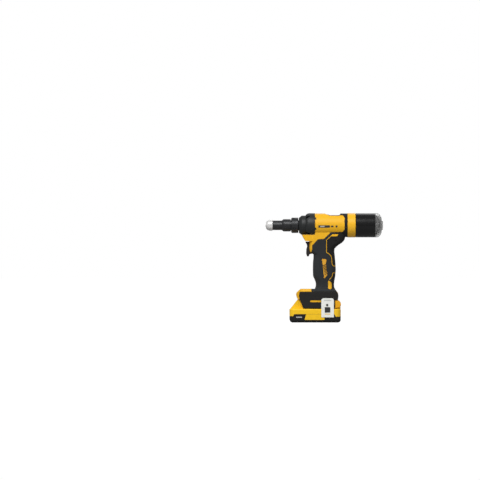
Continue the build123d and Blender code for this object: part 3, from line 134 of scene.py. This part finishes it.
def relaxBands(work, rounds):
    # rounds the shallow creases between lofted bands: long edges are halved a few times, then every vertex off the
    # sharp edges moves towards the mean of its neighbours and back again, which smooths without shrinking
    for _ in range(relaxing["halvings"]):
        longEdges = [edge for edge in work.edges if edge.calc_length() > relaxing["longest"]]
        if not longEdges:
            break
        bmesh.ops.subdivide_edges(work, edges=longEdges, cuts=1)
        bmesh.ops.triangulate(work, faces=[face for face in work.faces if len(face.verts) > 3])
    work.verts.index_update()
    place = np.array([vertex.co[:] for vertex in work.verts])
    ends = np.array([[edge.verts[0].index, edge.verts[1].index] for edge in work.edges])
    bend = np.array([edge.calc_face_angle(math.pi) for edge in work.edges])
    free = np.ones(len(place), bool)
    free[ends[bend > math.radians(relaxing["sharpAngle"])].ravel()] = False
    count = np.bincount(ends.ravel(), minlength=len(place))[:, None]
    for _ in range(rounds):
        for share in relaxing["shares"]:
            total = np.zeros_like(place)
            np.add.at(total, ends[:, 0], place[ends[:, 1]])
            np.add.at(total, ends[:, 1], place[ends[:, 0]])
            place[free] += share * (total / count - place)[free]
    for vertex, spot in zip(work.verts, place):
        vertex.co = spot


def smoothCopy(node, material, relax=0, across=None):
    # welded copy of a imported node, whose flat bands then shade as one moulded surface; relax is the number of
    # smoothing rounds, and with across given the copy keeps its place in the world instead of riding on its body
    mesh = nodes[node].data.copy()
    mesh.materials.clear()
    work = bmesh.new()
    work.from_mesh(mesh)
    bmesh.ops.remove_doubles(work, verts=work.verts, dist=2e-6)
    if relax:
        relaxBands(work, relax)
    work.to_mesh(mesh)
    work.free()
    custom = mesh.attributes.get("custom_normal")
    if custom:
        mesh.attributes.remove(custom)
    piece = addShaded("dressed." + node, mesh, material, relaxing["sharpAngle"])
    if across:
        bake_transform(piece)
    else:
        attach(piece, bodyOf[node])
    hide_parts(node)
    return piece


# materials: a look holds the two close shades of the colour, the roughness and what differs from the defaults

def startMaterial(name, shaderValues):
    # empty tree with a Principled shader, and the Object coordinates that the patterns follow
    material = bpy.data.materials.new(name)
    material.use_nodes = True
    tree = material.node_tree
    tree.nodes.clear()
    shader = addNode(tree, "ShaderNodeBsdfPrincipled", shaderValues)
    addNode(tree, "ShaderNodeOutputMaterial", links={"Surface": shader.outputs["BSDF"]})
    place = addNode(tree, "ShaderNodeTexCoord").outputs["Object"]
    return material, tree, shader, place


def addPattern(tree, place, kind, millimetres, values=None, **settings):
    # texture whose unit of pattern is that many millimetres long
    return addNode(tree, kind, {"Scale": 1000.0 / millimetres, **(values or {})}, {"Vector": place}, **settings)


def spreadColour(tree, shader, pattern, shades):
    mix = addNode(tree, "ShaderNodeMix", {6: linear(shades[0]), 7: linear(shades[1])}, {"Factor": pattern},
                  data_type="RGBA")
    tree.links.new(mix.outputs[2], shader.inputs["Base Color"])


def spreadRoughness(tree, shader, pattern, low, high):
    spread = addNode(tree, "ShaderNodeMapRange", {"To Min": low, "To Max": high}, {"Value": pattern})
    tree.links.new(spread.outputs["Result"], shader.inputs["Roughness"])


def addRelief(tree, shader, pattern, strength, distance, edge=None):
    # bumps as high as distance, in metres, over edges that look rounded by the radius edge
    links = {"Height": pattern}
    if edge:
        links["Normal"] = addNode(tree, "ShaderNodeBevel", {"Radius": edge}, samples=4).outputs["Normal"]
    bump = addNode(tree, "ShaderNodeBump", {"Strength": strength, "Distance": distance}, links)
    tree.links.new(bump.outputs["Normal"], shader.inputs["Normal"])


def mouldedPlastic(name, look):
    # moulded ABS or nylon: even colour, soft broad highlight, and a fine spark-eroded grain that breaks it up
    look = {"specular": 0.5, "driftMm": 45, "rubMm": 8, "grainMm": 0.7, "grain": 0.12, **look}
    material, tree, shader, place = startMaterial(name, {
        "Roughness": look["roughness"], "IOR": 1.53, "Specular IOR Level": look["specular"]})
    drift = addPattern(tree, place, "ShaderNodeTexNoise", look["driftMm"], {"Detail": 3.0})
    spreadColour(tree, shader, drift.outputs["Fac"], look["shades"])
    rub = addPattern(tree, place, "ShaderNodeTexNoise", look["rubMm"], {"Detail": 4.0})
    spreadRoughness(tree, shader, rub.outputs["Fac"], look["roughness"] - 0.06, look["roughness"] + 0.08)
    grain = addPattern(tree, place, "ShaderNodeTexVoronoi", look["grainMm"])
    addRelief(tree, shader, grain.outputs["Distance"], look["grain"], distance=0.0002, edge=0.0005)
    return material


def softRubber(name, look):
    # overmoulded TPE: dull and slightly dusty, with a pebbled skin
    look = {"dustMm": 14, "grainMm": 1.1, "grain": 0.35, **look}
    material, tree, shader, place = startMaterial(name, {
        "Roughness": look["roughness"], "IOR": 1.52, "Specular IOR Level": 0.22, "Sheen Weight": 0.04,
        "Sheen Roughness": 0.6})
    dust = addPattern(tree, place, "ShaderNodeTexNoise", look["dustMm"], {"Detail": 5.0, "Roughness": 0.6})
    spreadColour(tree, shader, dust.outputs["Fac"], look["shades"])
    pebble = addPattern(tree, place, "ShaderNodeTexVoronoi", look["grainMm"], feature="SMOOTH_F1")
    addRelief(tree, shader, pebble.outputs["Distance"], look["grain"], distance=0.0003, edge=0.0005)
    return material


def turnedMetal(name, look):
    # metal cut on a lathe round the X axis: fine rings catch the light across the tool; bandMm is about the width
    # of one light or dark ring, because the wave texture repeats 20 / (2 pi) times in its unit
    look = {"metallic": 1.0, "wearMm": 11, "bandMm": 0.9, "ring": 0.06, **look}
    material, tree, shader, place = startMaterial(name, {
        "Metallic": look["metallic"], "Roughness": look["roughness"]})
    wear = addPattern(tree, place, "ShaderNodeTexNoise", look["wearMm"], {"Detail": 6.0, "Roughness": 0.65})
    spreadColour(tree, shader, wear.outputs["Fac"], look["shades"])
    spreadRoughness(tree, shader, wear.outputs["Fac"], look["roughness"] - 0.04, look["roughness"] + 0.06)
    rings = addPattern(tree, place, "ShaderNodeTexWave", look["bandMm"] * 6.2832,
                       {"Distortion": 0.6, "Detail": 2.0}, bands_direction="X")
    addRelief(tree, shader, rings.outputs["Fac"], look["ring"], distance=0.0002, edge=0.00035)
    return material


def castMetal(name, look):
    # die-cast aluminium under powder paint: matt, with the small orange-peel waves of the paint
    look = {"peelMm": 1.3, "peel": 0.2, "shadeMm": 20, **look}
    material, tree, shader, place = startMaterial(name, {
        "Roughness": look["roughness"], "Metallic": 0.0, "IOR": 1.5, "Specular IOR Level": 0.25})
    peel = addPattern(tree, place, "ShaderNodeTexNoise", look["peelMm"], {"Detail": 3.0})
    shade = addPattern(tree, place, "ShaderNodeTexNoise", look["shadeMm"], {"Detail": 4.0})
    spreadColour(tree, shader, shade.outputs["Fac"], look["shades"])
    addRelief(tree, shader, peel.outputs["Fac"], look["peel"], distance=0.0002, edge=0.0005)
    return material


def clearPlastic(name, look):
    # polycarbonate, smoky or clear: light passes, and the moulded skin stays glossy
    look = {"waveMm": 9, "wave": 0.05, **look}
    material, tree, shader, place = startMaterial(name, {
        "Roughness": look["roughness"], "IOR": 1.58, "Transmission Weight": look["through"],
        "Base Color": linear(look["shades"][0])})
    wave = addPattern(tree, place, "ShaderNodeTexNoise", look["waveMm"], {"Detail": 2.0})
    spreadColour(tree, shader, wave.outputs["Fac"], look["shades"])
    addRelief(tree, shader, wave.outputs["Fac"], look["wave"], distance=0.0003)
    return material


def coatedCard(name, look):
    # coated tag card and its print: smooth, faintly fibrous, with a slight sheen
    look = {"fibreMm": 2.5, "fibre": 0.05, **look}
    material, tree, shader, place = startMaterial(name, {"Roughness": 0.45, "IOR": 1.45})
    fibre = addPattern(tree, place, "ShaderNodeTexNoise", look["fibreMm"], {"Detail": 8.0, "Roughness": 0.7})
    spreadColour(tree, shader, fibre.outputs["Fac"], look["shades"])
    addRelief(tree, shader, fibre.outputs["Fac"], look["fibre"], distance=0.0001)
    return material


yellowShell = mouldedPlastic("yellowNylon", {
    "shades": ("#f0b61c", "#e6aa16"), "roughness": 0.45, "specular": 0.3, "grain": 0.1, "grainMm": 0.8})
ringYellow = mouldedPlastic("yellowRingNylon", {
    "shades": ("#f5bb26", "#eaae1f"), "roughness": 0.32, "specular": 0.35, "grain": 0.05})
batteryYellow = mouldedPlastic("yellowBatteryAbs", {
    "shades": ("#fccc22", "#f5c31c"), "roughness": 0.42, "specular": 0.3, "grain": 0.1})
# the latch is yellow like the pack: its colour is painted darker and more orange, as painted shade for its rounded
# face
latchYellowShaded = mouldedPlastic("yellowLatchAcetalPaintedShade", {
    "shades": ("#f2b017", "#e8a412"), "roughness": 0.4, "specular": 0.3, "grain": 0.05})
batteryBlack = mouldedPlastic("blackBatteryAbs", {
    "shades": ("#191918", "#141413"), "roughness": 0.48, "specular": 0.3, "grain": 0.16})
footBlack = mouldedPlastic("blackFootAbs", {
    "shades": ("#211f1e", "#1b1a19"), "roughness": 0.52, "specular": 0.25, "grain": 0.16})
triggerBlack = mouldedPlastic("blackTriggerNylon", {
    "shades": ("#231f1d", "#1c1917"), "roughness": 0.44, "specular": 0.35, "grain": 0.08})
canisterBlack = mouldedPlastic("glossBlackCanister", {
    "shades": ("#111112", "#0d0d0e"), "roughness": 0.24, "specular": 0.32, "grain": 0.02})
innerBlack = mouldedPlastic("blackInnerNylon", {"shades": ("#232323", "#1c1c1c"), "roughness": 0.5})
cellBlue = mouldedPlastic("blueShrinkWrap", {
    "shades": ("#2c5f9e", "#244f86"), "roughness": 0.25, "grain": 0.02})
boardGreen = mouldedPlastic("greenBoardLaminate", {
    "shades": ("#1e5a39", "#174a2e"), "roughness": 0.3, "grain": 0.05, "driftMm": 6})
wireRed = mouldedPlastic("redWireSilicone", {"shades": ("#9e2020", "#861a1a"), "roughness": 0.4})
gripRubber = softRubber("greyOvermould", {"shades": ("#242628", "#2a2c2e"), "roughness": 0.74})
palmRubber = softRubber("blackOvermould", {
    "shades": ("#141314", "#1a1919"), "roughness": 0.74, "grain": 0.5, "grainMm": 1.6})
inlayRubber = softRubber("ochreOvermould", {"shades": ("#d79a2a", "#e0a534"), "roughness": 0.6})
noseSteel = turnedMetal("turnedNoseSteel", {
    "shades": ("#e4e3e2", "#d6d5d4"), "roughness": 0.34, "metallic": 0.3})
casingSteel = turnedMetal("blackOxideSteel", {
    "shades": ("#38393a", "#303132"), "roughness": 0.34, "metallic": 0.55, "ring": 0.1})
machinedSteel = turnedMetal("machinedSteel", {"shades": ("#a9a9a7", "#8f8f8d"), "roughness": 0.28})
screwSteel = turnedMetal("blackScrewSteel", {"shades": ("#3a3a3a", "#2b2b2b"), "roughness": 0.35})
copperWire = turnedMetal("enamelledCopper", {
    "shades": ("#b5652f", "#99501f"), "roughness": 0.3, "bandMm": 0.5, "ring": 0.4})
gearPaint = castMetal("paintedGearCase", {"shades": ("#2a2c2c", "#232525"), "roughness": 0.45})
smokeCap = clearPlastic("smokyPolycarbonate", {
    "shades": ("#c4c4c3", "#b6b6b5"), "roughness": 0.1, "through": 0.85})
lensClear = clearPlastic("clearLens", {"shades": ("#f2f2ee", "#e6e6e0"), "roughness": 0.08, "through": 0.8})
tagCard = coatedCard("whiteTagCard", {"shades": ("#f5f6f0", "#ecede8")})
tagInk = coatedCard("greyTagInk", {"shades": ("#2b2b2b", "#363636")})
tagYellow = coatedCard("yellowTagInk", {"shades": ("#f1c22c", "#e8b825")})
tagGrey = coatedCard("paleTagInk", {"shades": ("#a9aaa7", "#b4b5b2")})
print("stage: materials made")

# outer nodes as welded copies, springs as copies that ride on no body, and the other inner nodes with their finish
outerFinish = {
    "housing_left": yellowShell, "housing_right": yellowShell, "grip_cover_left": gripRubber,
    "grip_cover_right": gripRubber, "palm_pad_left": palmRubber, "palm_pad_right": palmRubber,
    "grip_inlays": inlayRubber, "foot_panel_left": footBlack, "foot_panel_right": footBlack,
    "nose_piece": noseSteel, "nose_casing": casingSteel, "casing_lock_nut": casingSteel,
    "front_adapter": gearPaint, "front_housing": gearPaint, "trigger": triggerBlack, "lock_ring": ringYellow,
    "canister": canisterBlack, "canister_cap": smokeCap, "canister_adapter": innerBlack,
    "battery_base": batteryBlack, "battery_top": batteryYellow, "latch_button_left": latchYellowShaded,
    "latch_button_right": latchYellowShaded, "hang_tag": tagCard, "tag_rivet": screwSteel, "work_light": lensClear,
}
relaxRounds = {
    "housing_left": 24, "housing_right": 24, "grip_cover_left": 24, "grip_cover_right": 24,
    "palm_pad_left": 24, "palm_pad_right": 24, "grip_inlays": 16,
}
for nodeName, finish in outerFinish.items():
    smoothCopy(nodeName, finish, relax=relaxRounds.get(nodeName, 0))
springNodes = set()
for joint in joints:
    # each spring's two ends on its joint axis: the fixed end from the joint, and the end of its mesh farthest from
    # it
    for row in joint.get("deforming_nodes", []):
        letter = row["mode"][-1]
        axis = "xyz".index(letter)
        spots = np.array([vertex.co[:] for vertex in nodes[row["node"]].data.vertices])
        middle = (spots.min(axis=0) + spots.max(axis=0)) / 2
        fixedEnd = row[f"fixed_end_{letter}_m"]
        start, end = middle.copy(), middle.copy()
        start[axis] = fixedEnd
        end[axis] = max(spots[:, axis].min(), spots[:, axis].max(), key=lambda place: abs(place - fixedEnd))
        smoothCopy(row["node"], machinedSteel, across=(joint["parent"], joint["child"], tuple(start), tuple(end)))
        springNodes.add(row["node"])
        print("stage: spring set between", joint["parent"], "and", joint["child"])
innerFinish = {
    "housing_screws": screwSteel, "front_housing_screws": screwSteel, "motor_windings": copperWire,
    "trigger_switch": innerBlack, "control_board": boardGreen, "pack_board": boardGreen,
    "terminal_block": innerBlack, "wiring": wireRed, "motor_fan": innerBlack, "canister_seal": palmRubber,
    "battery_cells": cellBlue,
}
for nodeName, obj in nodes.items():
    if nodeName not in outerFinish and nodeName not in springNodes:
        finish = innerFinish.get(nodeName, machinedSteel)
        if not obj.material_slots:
            obj.data.materials.append(finish)
        for slotRow in obj.material_slots:
            slotRow.material = finish
print("stage: packed nodes dressed")


# outlines, in millimetres

def boxCorners(low, bottom, high, top):
    return [(low, bottom), (high, bottom), (high, top), (low, top)]


def roundedOutline(corners, radius, steps=5):
    # each corner becomes a quadratic curve between the points that lie a radius away from it on its two sides
    points = np.array(corners, float)
    before = np.roll(points, 1, axis=0) - points
    after = np.roll(points, -1, axis=0) - points
    before /= np.linalg.norm(before, axis=1, keepdims=True)
    after /= np.linalg.norm(after, axis=1, keepdims=True)
    share = np.linspace(0, 1, steps)[None, :, None]
    start = (points + before * radius)[:, None, :]
    end = (points + after * radius)[:, None, :]
    middle = points[:, None, :]
    return ((1 - share) ** 2 * start + 2 * share * (1 - share) * middle + share ** 2 * end).reshape(-1, 2)


def densified(corners, radius, step=1.2):
    # rounded outline with its long sides cut to pieces no longer than the step
    ring = roundedOutline(corners, radius)
    following = np.roll(ring, -1, axis=0)
    pieces = []
    for one, two in zip(ring, following):
        parts = max(1, int(np.ceil(np.linalg.norm(two - one) / step)))
        pieces.append(one + np.arange(parts)[:, None] / parts * (two - one))
    return np.concatenate(pieces)


# flat plates: the battery's side panels and marks, and the print of the tag

def addPlate(name, plate, corners, side, body, material):
    # an outline in (x, z) is carried along y, from sunk under the face to proud of it, with both ends shut
    ring = roundedOutline(corners, plate["corner"])
    depths = (plate["face"] - plate["sunk"], plate["face"] + plate["proud"])
    layers = [np.stack([ring[:, 0], np.full(len(ring), side * depth), ring[:, 1]], axis=-1) for depth in depths]
    count = len(ring)
    around = np.arange(count)
    walls = np.stack([around, (around + 1) % count, (around + 1) % count + count, around + count], axis=-1).tolist()
    mesh = bpy.data.meshes.new(name)
    mesh.from_pydata((np.concatenate(layers) / 1000).tolist(), [],
                     walls + [around[::-1].tolist(), (around + count).tolist()])
    addPiece(name, mesh, body, material)


batteryPlate = {"outline": [(-24.6, 6.2), (-21.0, 18.9), (20.8, 18.9), (20.8, 6.2)], "corner": 1.2, "face": 37.5,
                "sunk": 0.6, "proud": 0.35}
batteryMark = {"outline": boxCorners(-43.8, 11.0, -30.4, 13.6), "corner": 0.8, "face": 37.5, "sunk": 0.3,
               "proud": 0.08}
for side, word in ((-1, "Left"), (1, "Right")):
    addPlate("batteryPlate" + word, batteryPlate, batteryPlate["outline"], side, "battery", batteryYellow)
    addPlate("batteryMark" + word, batteryMark, batteryMark["outline"], side, "battery", tagGrey)
print("stage: battery plates made")

# printed blocks of the hang tag, generic bars on its outer face
tagPrint = {"corner": 0.4, "face": 38.9, "sunk": 0.02, "proud": 0.06, "blocks": [
    ("tagBlock", boxCorners(21.2, 22.6, 34.0, 35.1), tagInk),
    ("tagStripe", boxCorners(21.2, 18.6, 34.0, 20.4), tagYellow),
    ("tagLineHigh", boxCorners(19.5, 49.3, 36.0, 50.3), tagGrey),
    ("tagLineLow", boxCorners(19.5, 51.2, 33.0, 52.2), tagGrey)]}
for name, corners, ink in tagPrint["blocks"]:
    addPlate(name, tagPrint, corners, -1, "tag", ink)
print("stage: tag printed")


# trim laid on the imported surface: pads, bars, tabs and ridges that follow whatever lies under them

def treeOf(*names):
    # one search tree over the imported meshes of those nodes
    points = []
    faces = []
    for name in names:
        mesh = nodes[name].data
        first = len(points)
        points += [vertex.co.copy() for vertex in mesh.vertices]
        faces += [[first + index for index in face.vertices] for face in mesh.polygons]
    return BVHTree.FromPolygons(points, faces)


draping = {"crowding": 0.8, "shoulderPower": 8, "sideStart": 60.0, "sharpAngle": 40}


def drapedPad(name, tree, outline, toward, start, trim):
    # pad over a closed outline: rings shrink from the outline, near which they crowd, to its middle; each point
    # falls along toward until it meets the surface, or takes the mean where it meets none, and rises by the lift
    # times a narrow rounded shoulder; a skirt round the outer ring goes down by the depth
    ring = np.array(outline, float)
    middle = ring.mean(axis=0)
    share = np.linspace(1.0, 0.0, trim["rings"]) ** draping["crowding"]
    flat = middle + share[:, None, None] * (ring - middle)
    toward = np.array(toward, float)
    axis = int(np.argmax(np.abs(toward)))
    others = [index for index in range(3) if index != axis]
    where = np.zeros((*flat.shape[:2], 3))
    where[..., others[0]] = flat[..., 0]
    where[..., others[1]] = flat[..., 1]
    where[..., axis] = start
    hits = [tree.ray_cast(Vector(spot / 1000), Vector(toward)) for spot in where.reshape(-1, 3)]
    surface = np.array([hit[0][axis] * 1000 if hit[0] else np.nan for hit in hits]).reshape(where.shape[:2])
    surface = np.where(np.isnan(surface), np.nanmean(surface), surface)
    shoulder = np.sqrt(np.clip(1 - share ** draping["shoulderPower"], 0, 1))[:, None]
    where[..., axis] = surface - toward[axis] * (trim["lift"] * shoulder)
    skirt = where[:1].copy()
    skirt[..., axis] = surface[:1] + toward[axis] * trim["depth"]
    return surfaceMesh(name, np.concatenate([skirt, where]) / 1000, closed=True)


def addSidePad(name, tree, ring, side, trim, material):
    # the rays start well outside the body, on the side where the pad goes
    mesh = drapedPad(name, tree, ring, (0, -side, 0), side * draping["sideStart"], trim)
    addPiece(name, mesh, "root", material, draping["sharpAngle"])


# black pad in the hollow on top of the body, from the rear step of the yellow to the black collar
topPad = {"box": (27.5, -10.5, 61.5, 10.5), "corner": 2.5, "start": 300.0, "lift": 1.2, "depth": 0.6, "rings": 16}
bodyTree = treeOf("housing_left", "housing_right")
padOutline = densified(boxCorners(*topPad["box"]), topPad["corner"])
addPiece("topPad", drapedPad("topPad", bodyTree, padOutline, (0, 0, -1), topPad["start"], topPad), "root",
         palmRubber, draping["sharpAngle"])

# generic printed bars on the sides of the body, thin layers that follow its curve
sideBars = {"depth": 0.25, "rings": 7, "bars": [
    ("barLong", (6.9, 215.2, 33.4, 221.0), 1.2, 0.12, tagInk),
    ("barInset", (10.8, 216.7, 21.7, 219.7), 0.8, 0.24, tagGrey),
    ("barMiddle", (35.6, 216.4, 41.6, 220.2), 1.0, 0.12, tagInk),
    ("barEnd", (46.2, 215.8, 50.8, 220.6), 1.0, 0.12, tagInk)]}
for side, word in ((-1, "Left"), (1, "Right")):
    for name, box, corner, lift, ink in sideBars["bars"]:
        ring = densified(boxCorners(*box), corner)
        addSidePad(name + word, bodyTree, ring, side, {**sideBars, "lift": lift}, ink)
    print("stage: bars printed on side", word)

# short black tabs at the rear edge of the gear case, two on each side
edgeTab = {"heights": (236.4, 213.0), "reach": (-1.2, 2.6), "half": 2.3, "corner": 1.0, "lift": 0.5, "depth": 0.5,
           "rings": 9}
tabTree = treeOf("housing_left", "housing_right", "front_housing")
for side, word in ((-1, "Left"), (1, "Right")):
    for row, height in enumerate(edgeTab["heights"]):
        low, high = edgeTab["reach"]
        ring = densified(boxCorners(low, height - edgeTab["half"], high, height + edgeTab["half"]),
                         edgeTab["corner"])
        addSidePad(f"edgeTab{word}{row}", tabTree, ring, side, edgeTab, gearPaint)

# dark ridges across the middle of each grip inlay
inlayRidge = {"from": (21.0, 130.5), "to": (25.2, 110.5), "count": 7, "half": (4.1, 0.75), "tilt": 0.5,
              "corner": 0.6, "lift": 0.55, "depth": 0.4, "rings": 5}
inlayTree = treeOf("grip_inlays", "grip_cover_left", "grip_cover_right")
tilt = inlayRidge["tilt"]
along = np.array([math.cos(tilt), math.sin(tilt)]) * inlayRidge["half"][0]
across = np.array([-math.sin(tilt), math.cos(tilt)]) * inlayRidge["half"][1]
for side, word in ((-1, "Left"), (1, "Right")):
    for row in range(inlayRidge["count"]):
        share = row / (inlayRidge["count"] - 1)
        mid = (1 - share) * np.array(inlayRidge["from"]) + share * np.array(inlayRidge["to"])
        ring = densified([mid - along - across, mid + along - across, mid + along + across, mid - along + across],
                         inlayRidge["corner"])
        addSidePad(f"inlayRidge{word}{row}", inlayTree, ring, side, inlayRidge, palmRubber)
print("stage: trim laid")


# dark cup behind the smoky cap, which shows through it as the deeper grey of its middle

def lathe(profile, centre, turns=96):
    # profile of (x, radius) carried round the X axis through centre: y = r cos t, z = r sin t
    line = np.array(profile, float)
    turn = np.linspace(0, 2 * np.pi, turns, endpoint=False)
    x = np.repeat(line[:, :1], turns, axis=1)
    y = line[:, 1:2] * np.cos(turn)
    z = line[:, 1:2] * np.sin(turn)
    return np.stack([x + centre[0], y + centre[1], z + centre[2]], axis=-1) / 1000


capCup = {"centre": (0, 0, 221.0), "sharpAngle": 30, "profile": [
    (136.9, 4.0), (136.9, 23.4), (138.2, 23.8), (141.5, 21.0), (145.0, 15.5), (147.4, 9.0), (148.2, 0.4)]}
cupMesh = surfaceMesh("capCup", lathe(capCup["profile"], capCup["centre"]), closed=True)
addPiece("capCup", cupMesh, "canister", palmRubber, capCup["sharpAngle"])
print("stage: cap cup made")


# floor, light and camera

def pickBySight(tree, seen, unseen):
    # the camera sees one shader, straight or through clear pieces, and all other rays meet the other one
    path = addNode(tree, "ShaderNodeLightPath")
    sight = addNode(tree, "ShaderNodeMath", links={
        0: path.outputs["Is Camera Ray"], 1: path.outputs["Is Transmission Ray"]}, operation="MAXIMUM")
    mix = addNode(tree, "ShaderNodeMixShader", links={
        0: sight.outputs[0], 1: unseen.outputs[0], 2: seen.outputs[0]})
    return mix.outputs[0]


def glowingPaper(tree, grey, glow):
    base = addNode(tree, "ShaderNodeBsdfDiffuse", {"Color": (grey, grey, grey, 1)})
    light = addNode(tree, "ShaderNodeEmission", {"Color": (1, 1, 1, 1), "Strength": glow})
    return addNode(tree, "ShaderNodeAddShader", links={0: base.outputs[0], 1: light.outputs[0]})


# pale sweep paper: it takes the shadow, looks white itself and doesn't light the tool from below
sweep = {"reach": [-9.0, 9.0], "drop": 0.0002, "seen": {"grey": 0.36, "glow": 0.9},
         "unseen": {"grey": 0.3, "glow": 0.05}}
floorPoints = np.stack(np.meshgrid(sweep["reach"], sweep["reach"], [0.0]), axis=-1).reshape(2, 2, 3)
floorMesh = surfaceMesh("studioFloor", floorPoints)
studioFloor = addObject("studioFloor", floorMesh)
studioFloor.location.z = -sweep["drop"]
paper = bpy.data.materials.new("palePaperFloor")
paper.use_nodes = True
paperTree = paper.node_tree
paperTree.nodes.clear()
paperLook = pickBySight(paperTree, glowingPaper(paperTree, **sweep["seen"]),
                        glowingPaper(paperTree, **sweep["unseen"]))
addNode(paperTree, "ShaderNodeOutputMaterial", links={"Surface": paperLook})
floorMesh.materials.append(paper)

# the room looks white but lights the tool only softly
room = {"seen": 1.0, "unseen": 0.3}
scene = bpy.context.scene
world = bpy.data.worlds.new("studioRoom")
scene.world = world
world.use_nodes = True
worldTree = world.node_tree
worldTree.nodes.clear()
roomSeen, roomUnseen = [addNode(worldTree, "ShaderNodeBackground", {"Color": (1, 1, 1, 1), "Strength": room[key]})
                        for key in ("seen", "unseen")]
addNode(worldTree, "ShaderNodeOutputWorld", links={"Surface": pickBySight(worldTree, roomSeen, roomUnseen)})

lamps = {
    "keyAbove": {"at": (-0.6, -1.25, 1.6), "size": 1.2, "watts": 38},
    "fillRight": {"at": (1.3, -1.4, 0.8), "size": 1.0, "watts": 5},
    "rimBehind": {"at": (0.3, 1.4, 1.4), "size": 1.2, "watts": 4},
}
aim = Vector((0.02, 0, 0.14))
for lampName, lamp in lamps.items():
    data = bpy.data.lights.new(lampName, "AREA")
    data.shape = "DISK"
    data.size = lamp["size"]
    data.energy = lamp["watts"]
    obj = addObject(lampName, data)
    obj.location = lamp["at"]
    obj.rotation_euler = (aim - Vector(lamp["at"])).to_track_quat("-Z", "Y").to_euler()

view = {"at": (-0.171, -8.0, 0.1875), "lens": 263.2, "sensor": 36.0, "pitch": 90}
cameraData = bpy.data.cameras.new("photoCamera")
cameraData.sensor_width = view["sensor"]
cameraData.lens = view["lens"]
camera = addObject("photoCamera", cameraData)
camera.location = view["at"]
camera.rotation_euler = (math.radians(view["pitch"]), 0, 0)
scene.camera = camera
scene.view_settings.view_transform = "Standard"
print("stage: floor, lamps and camera set")
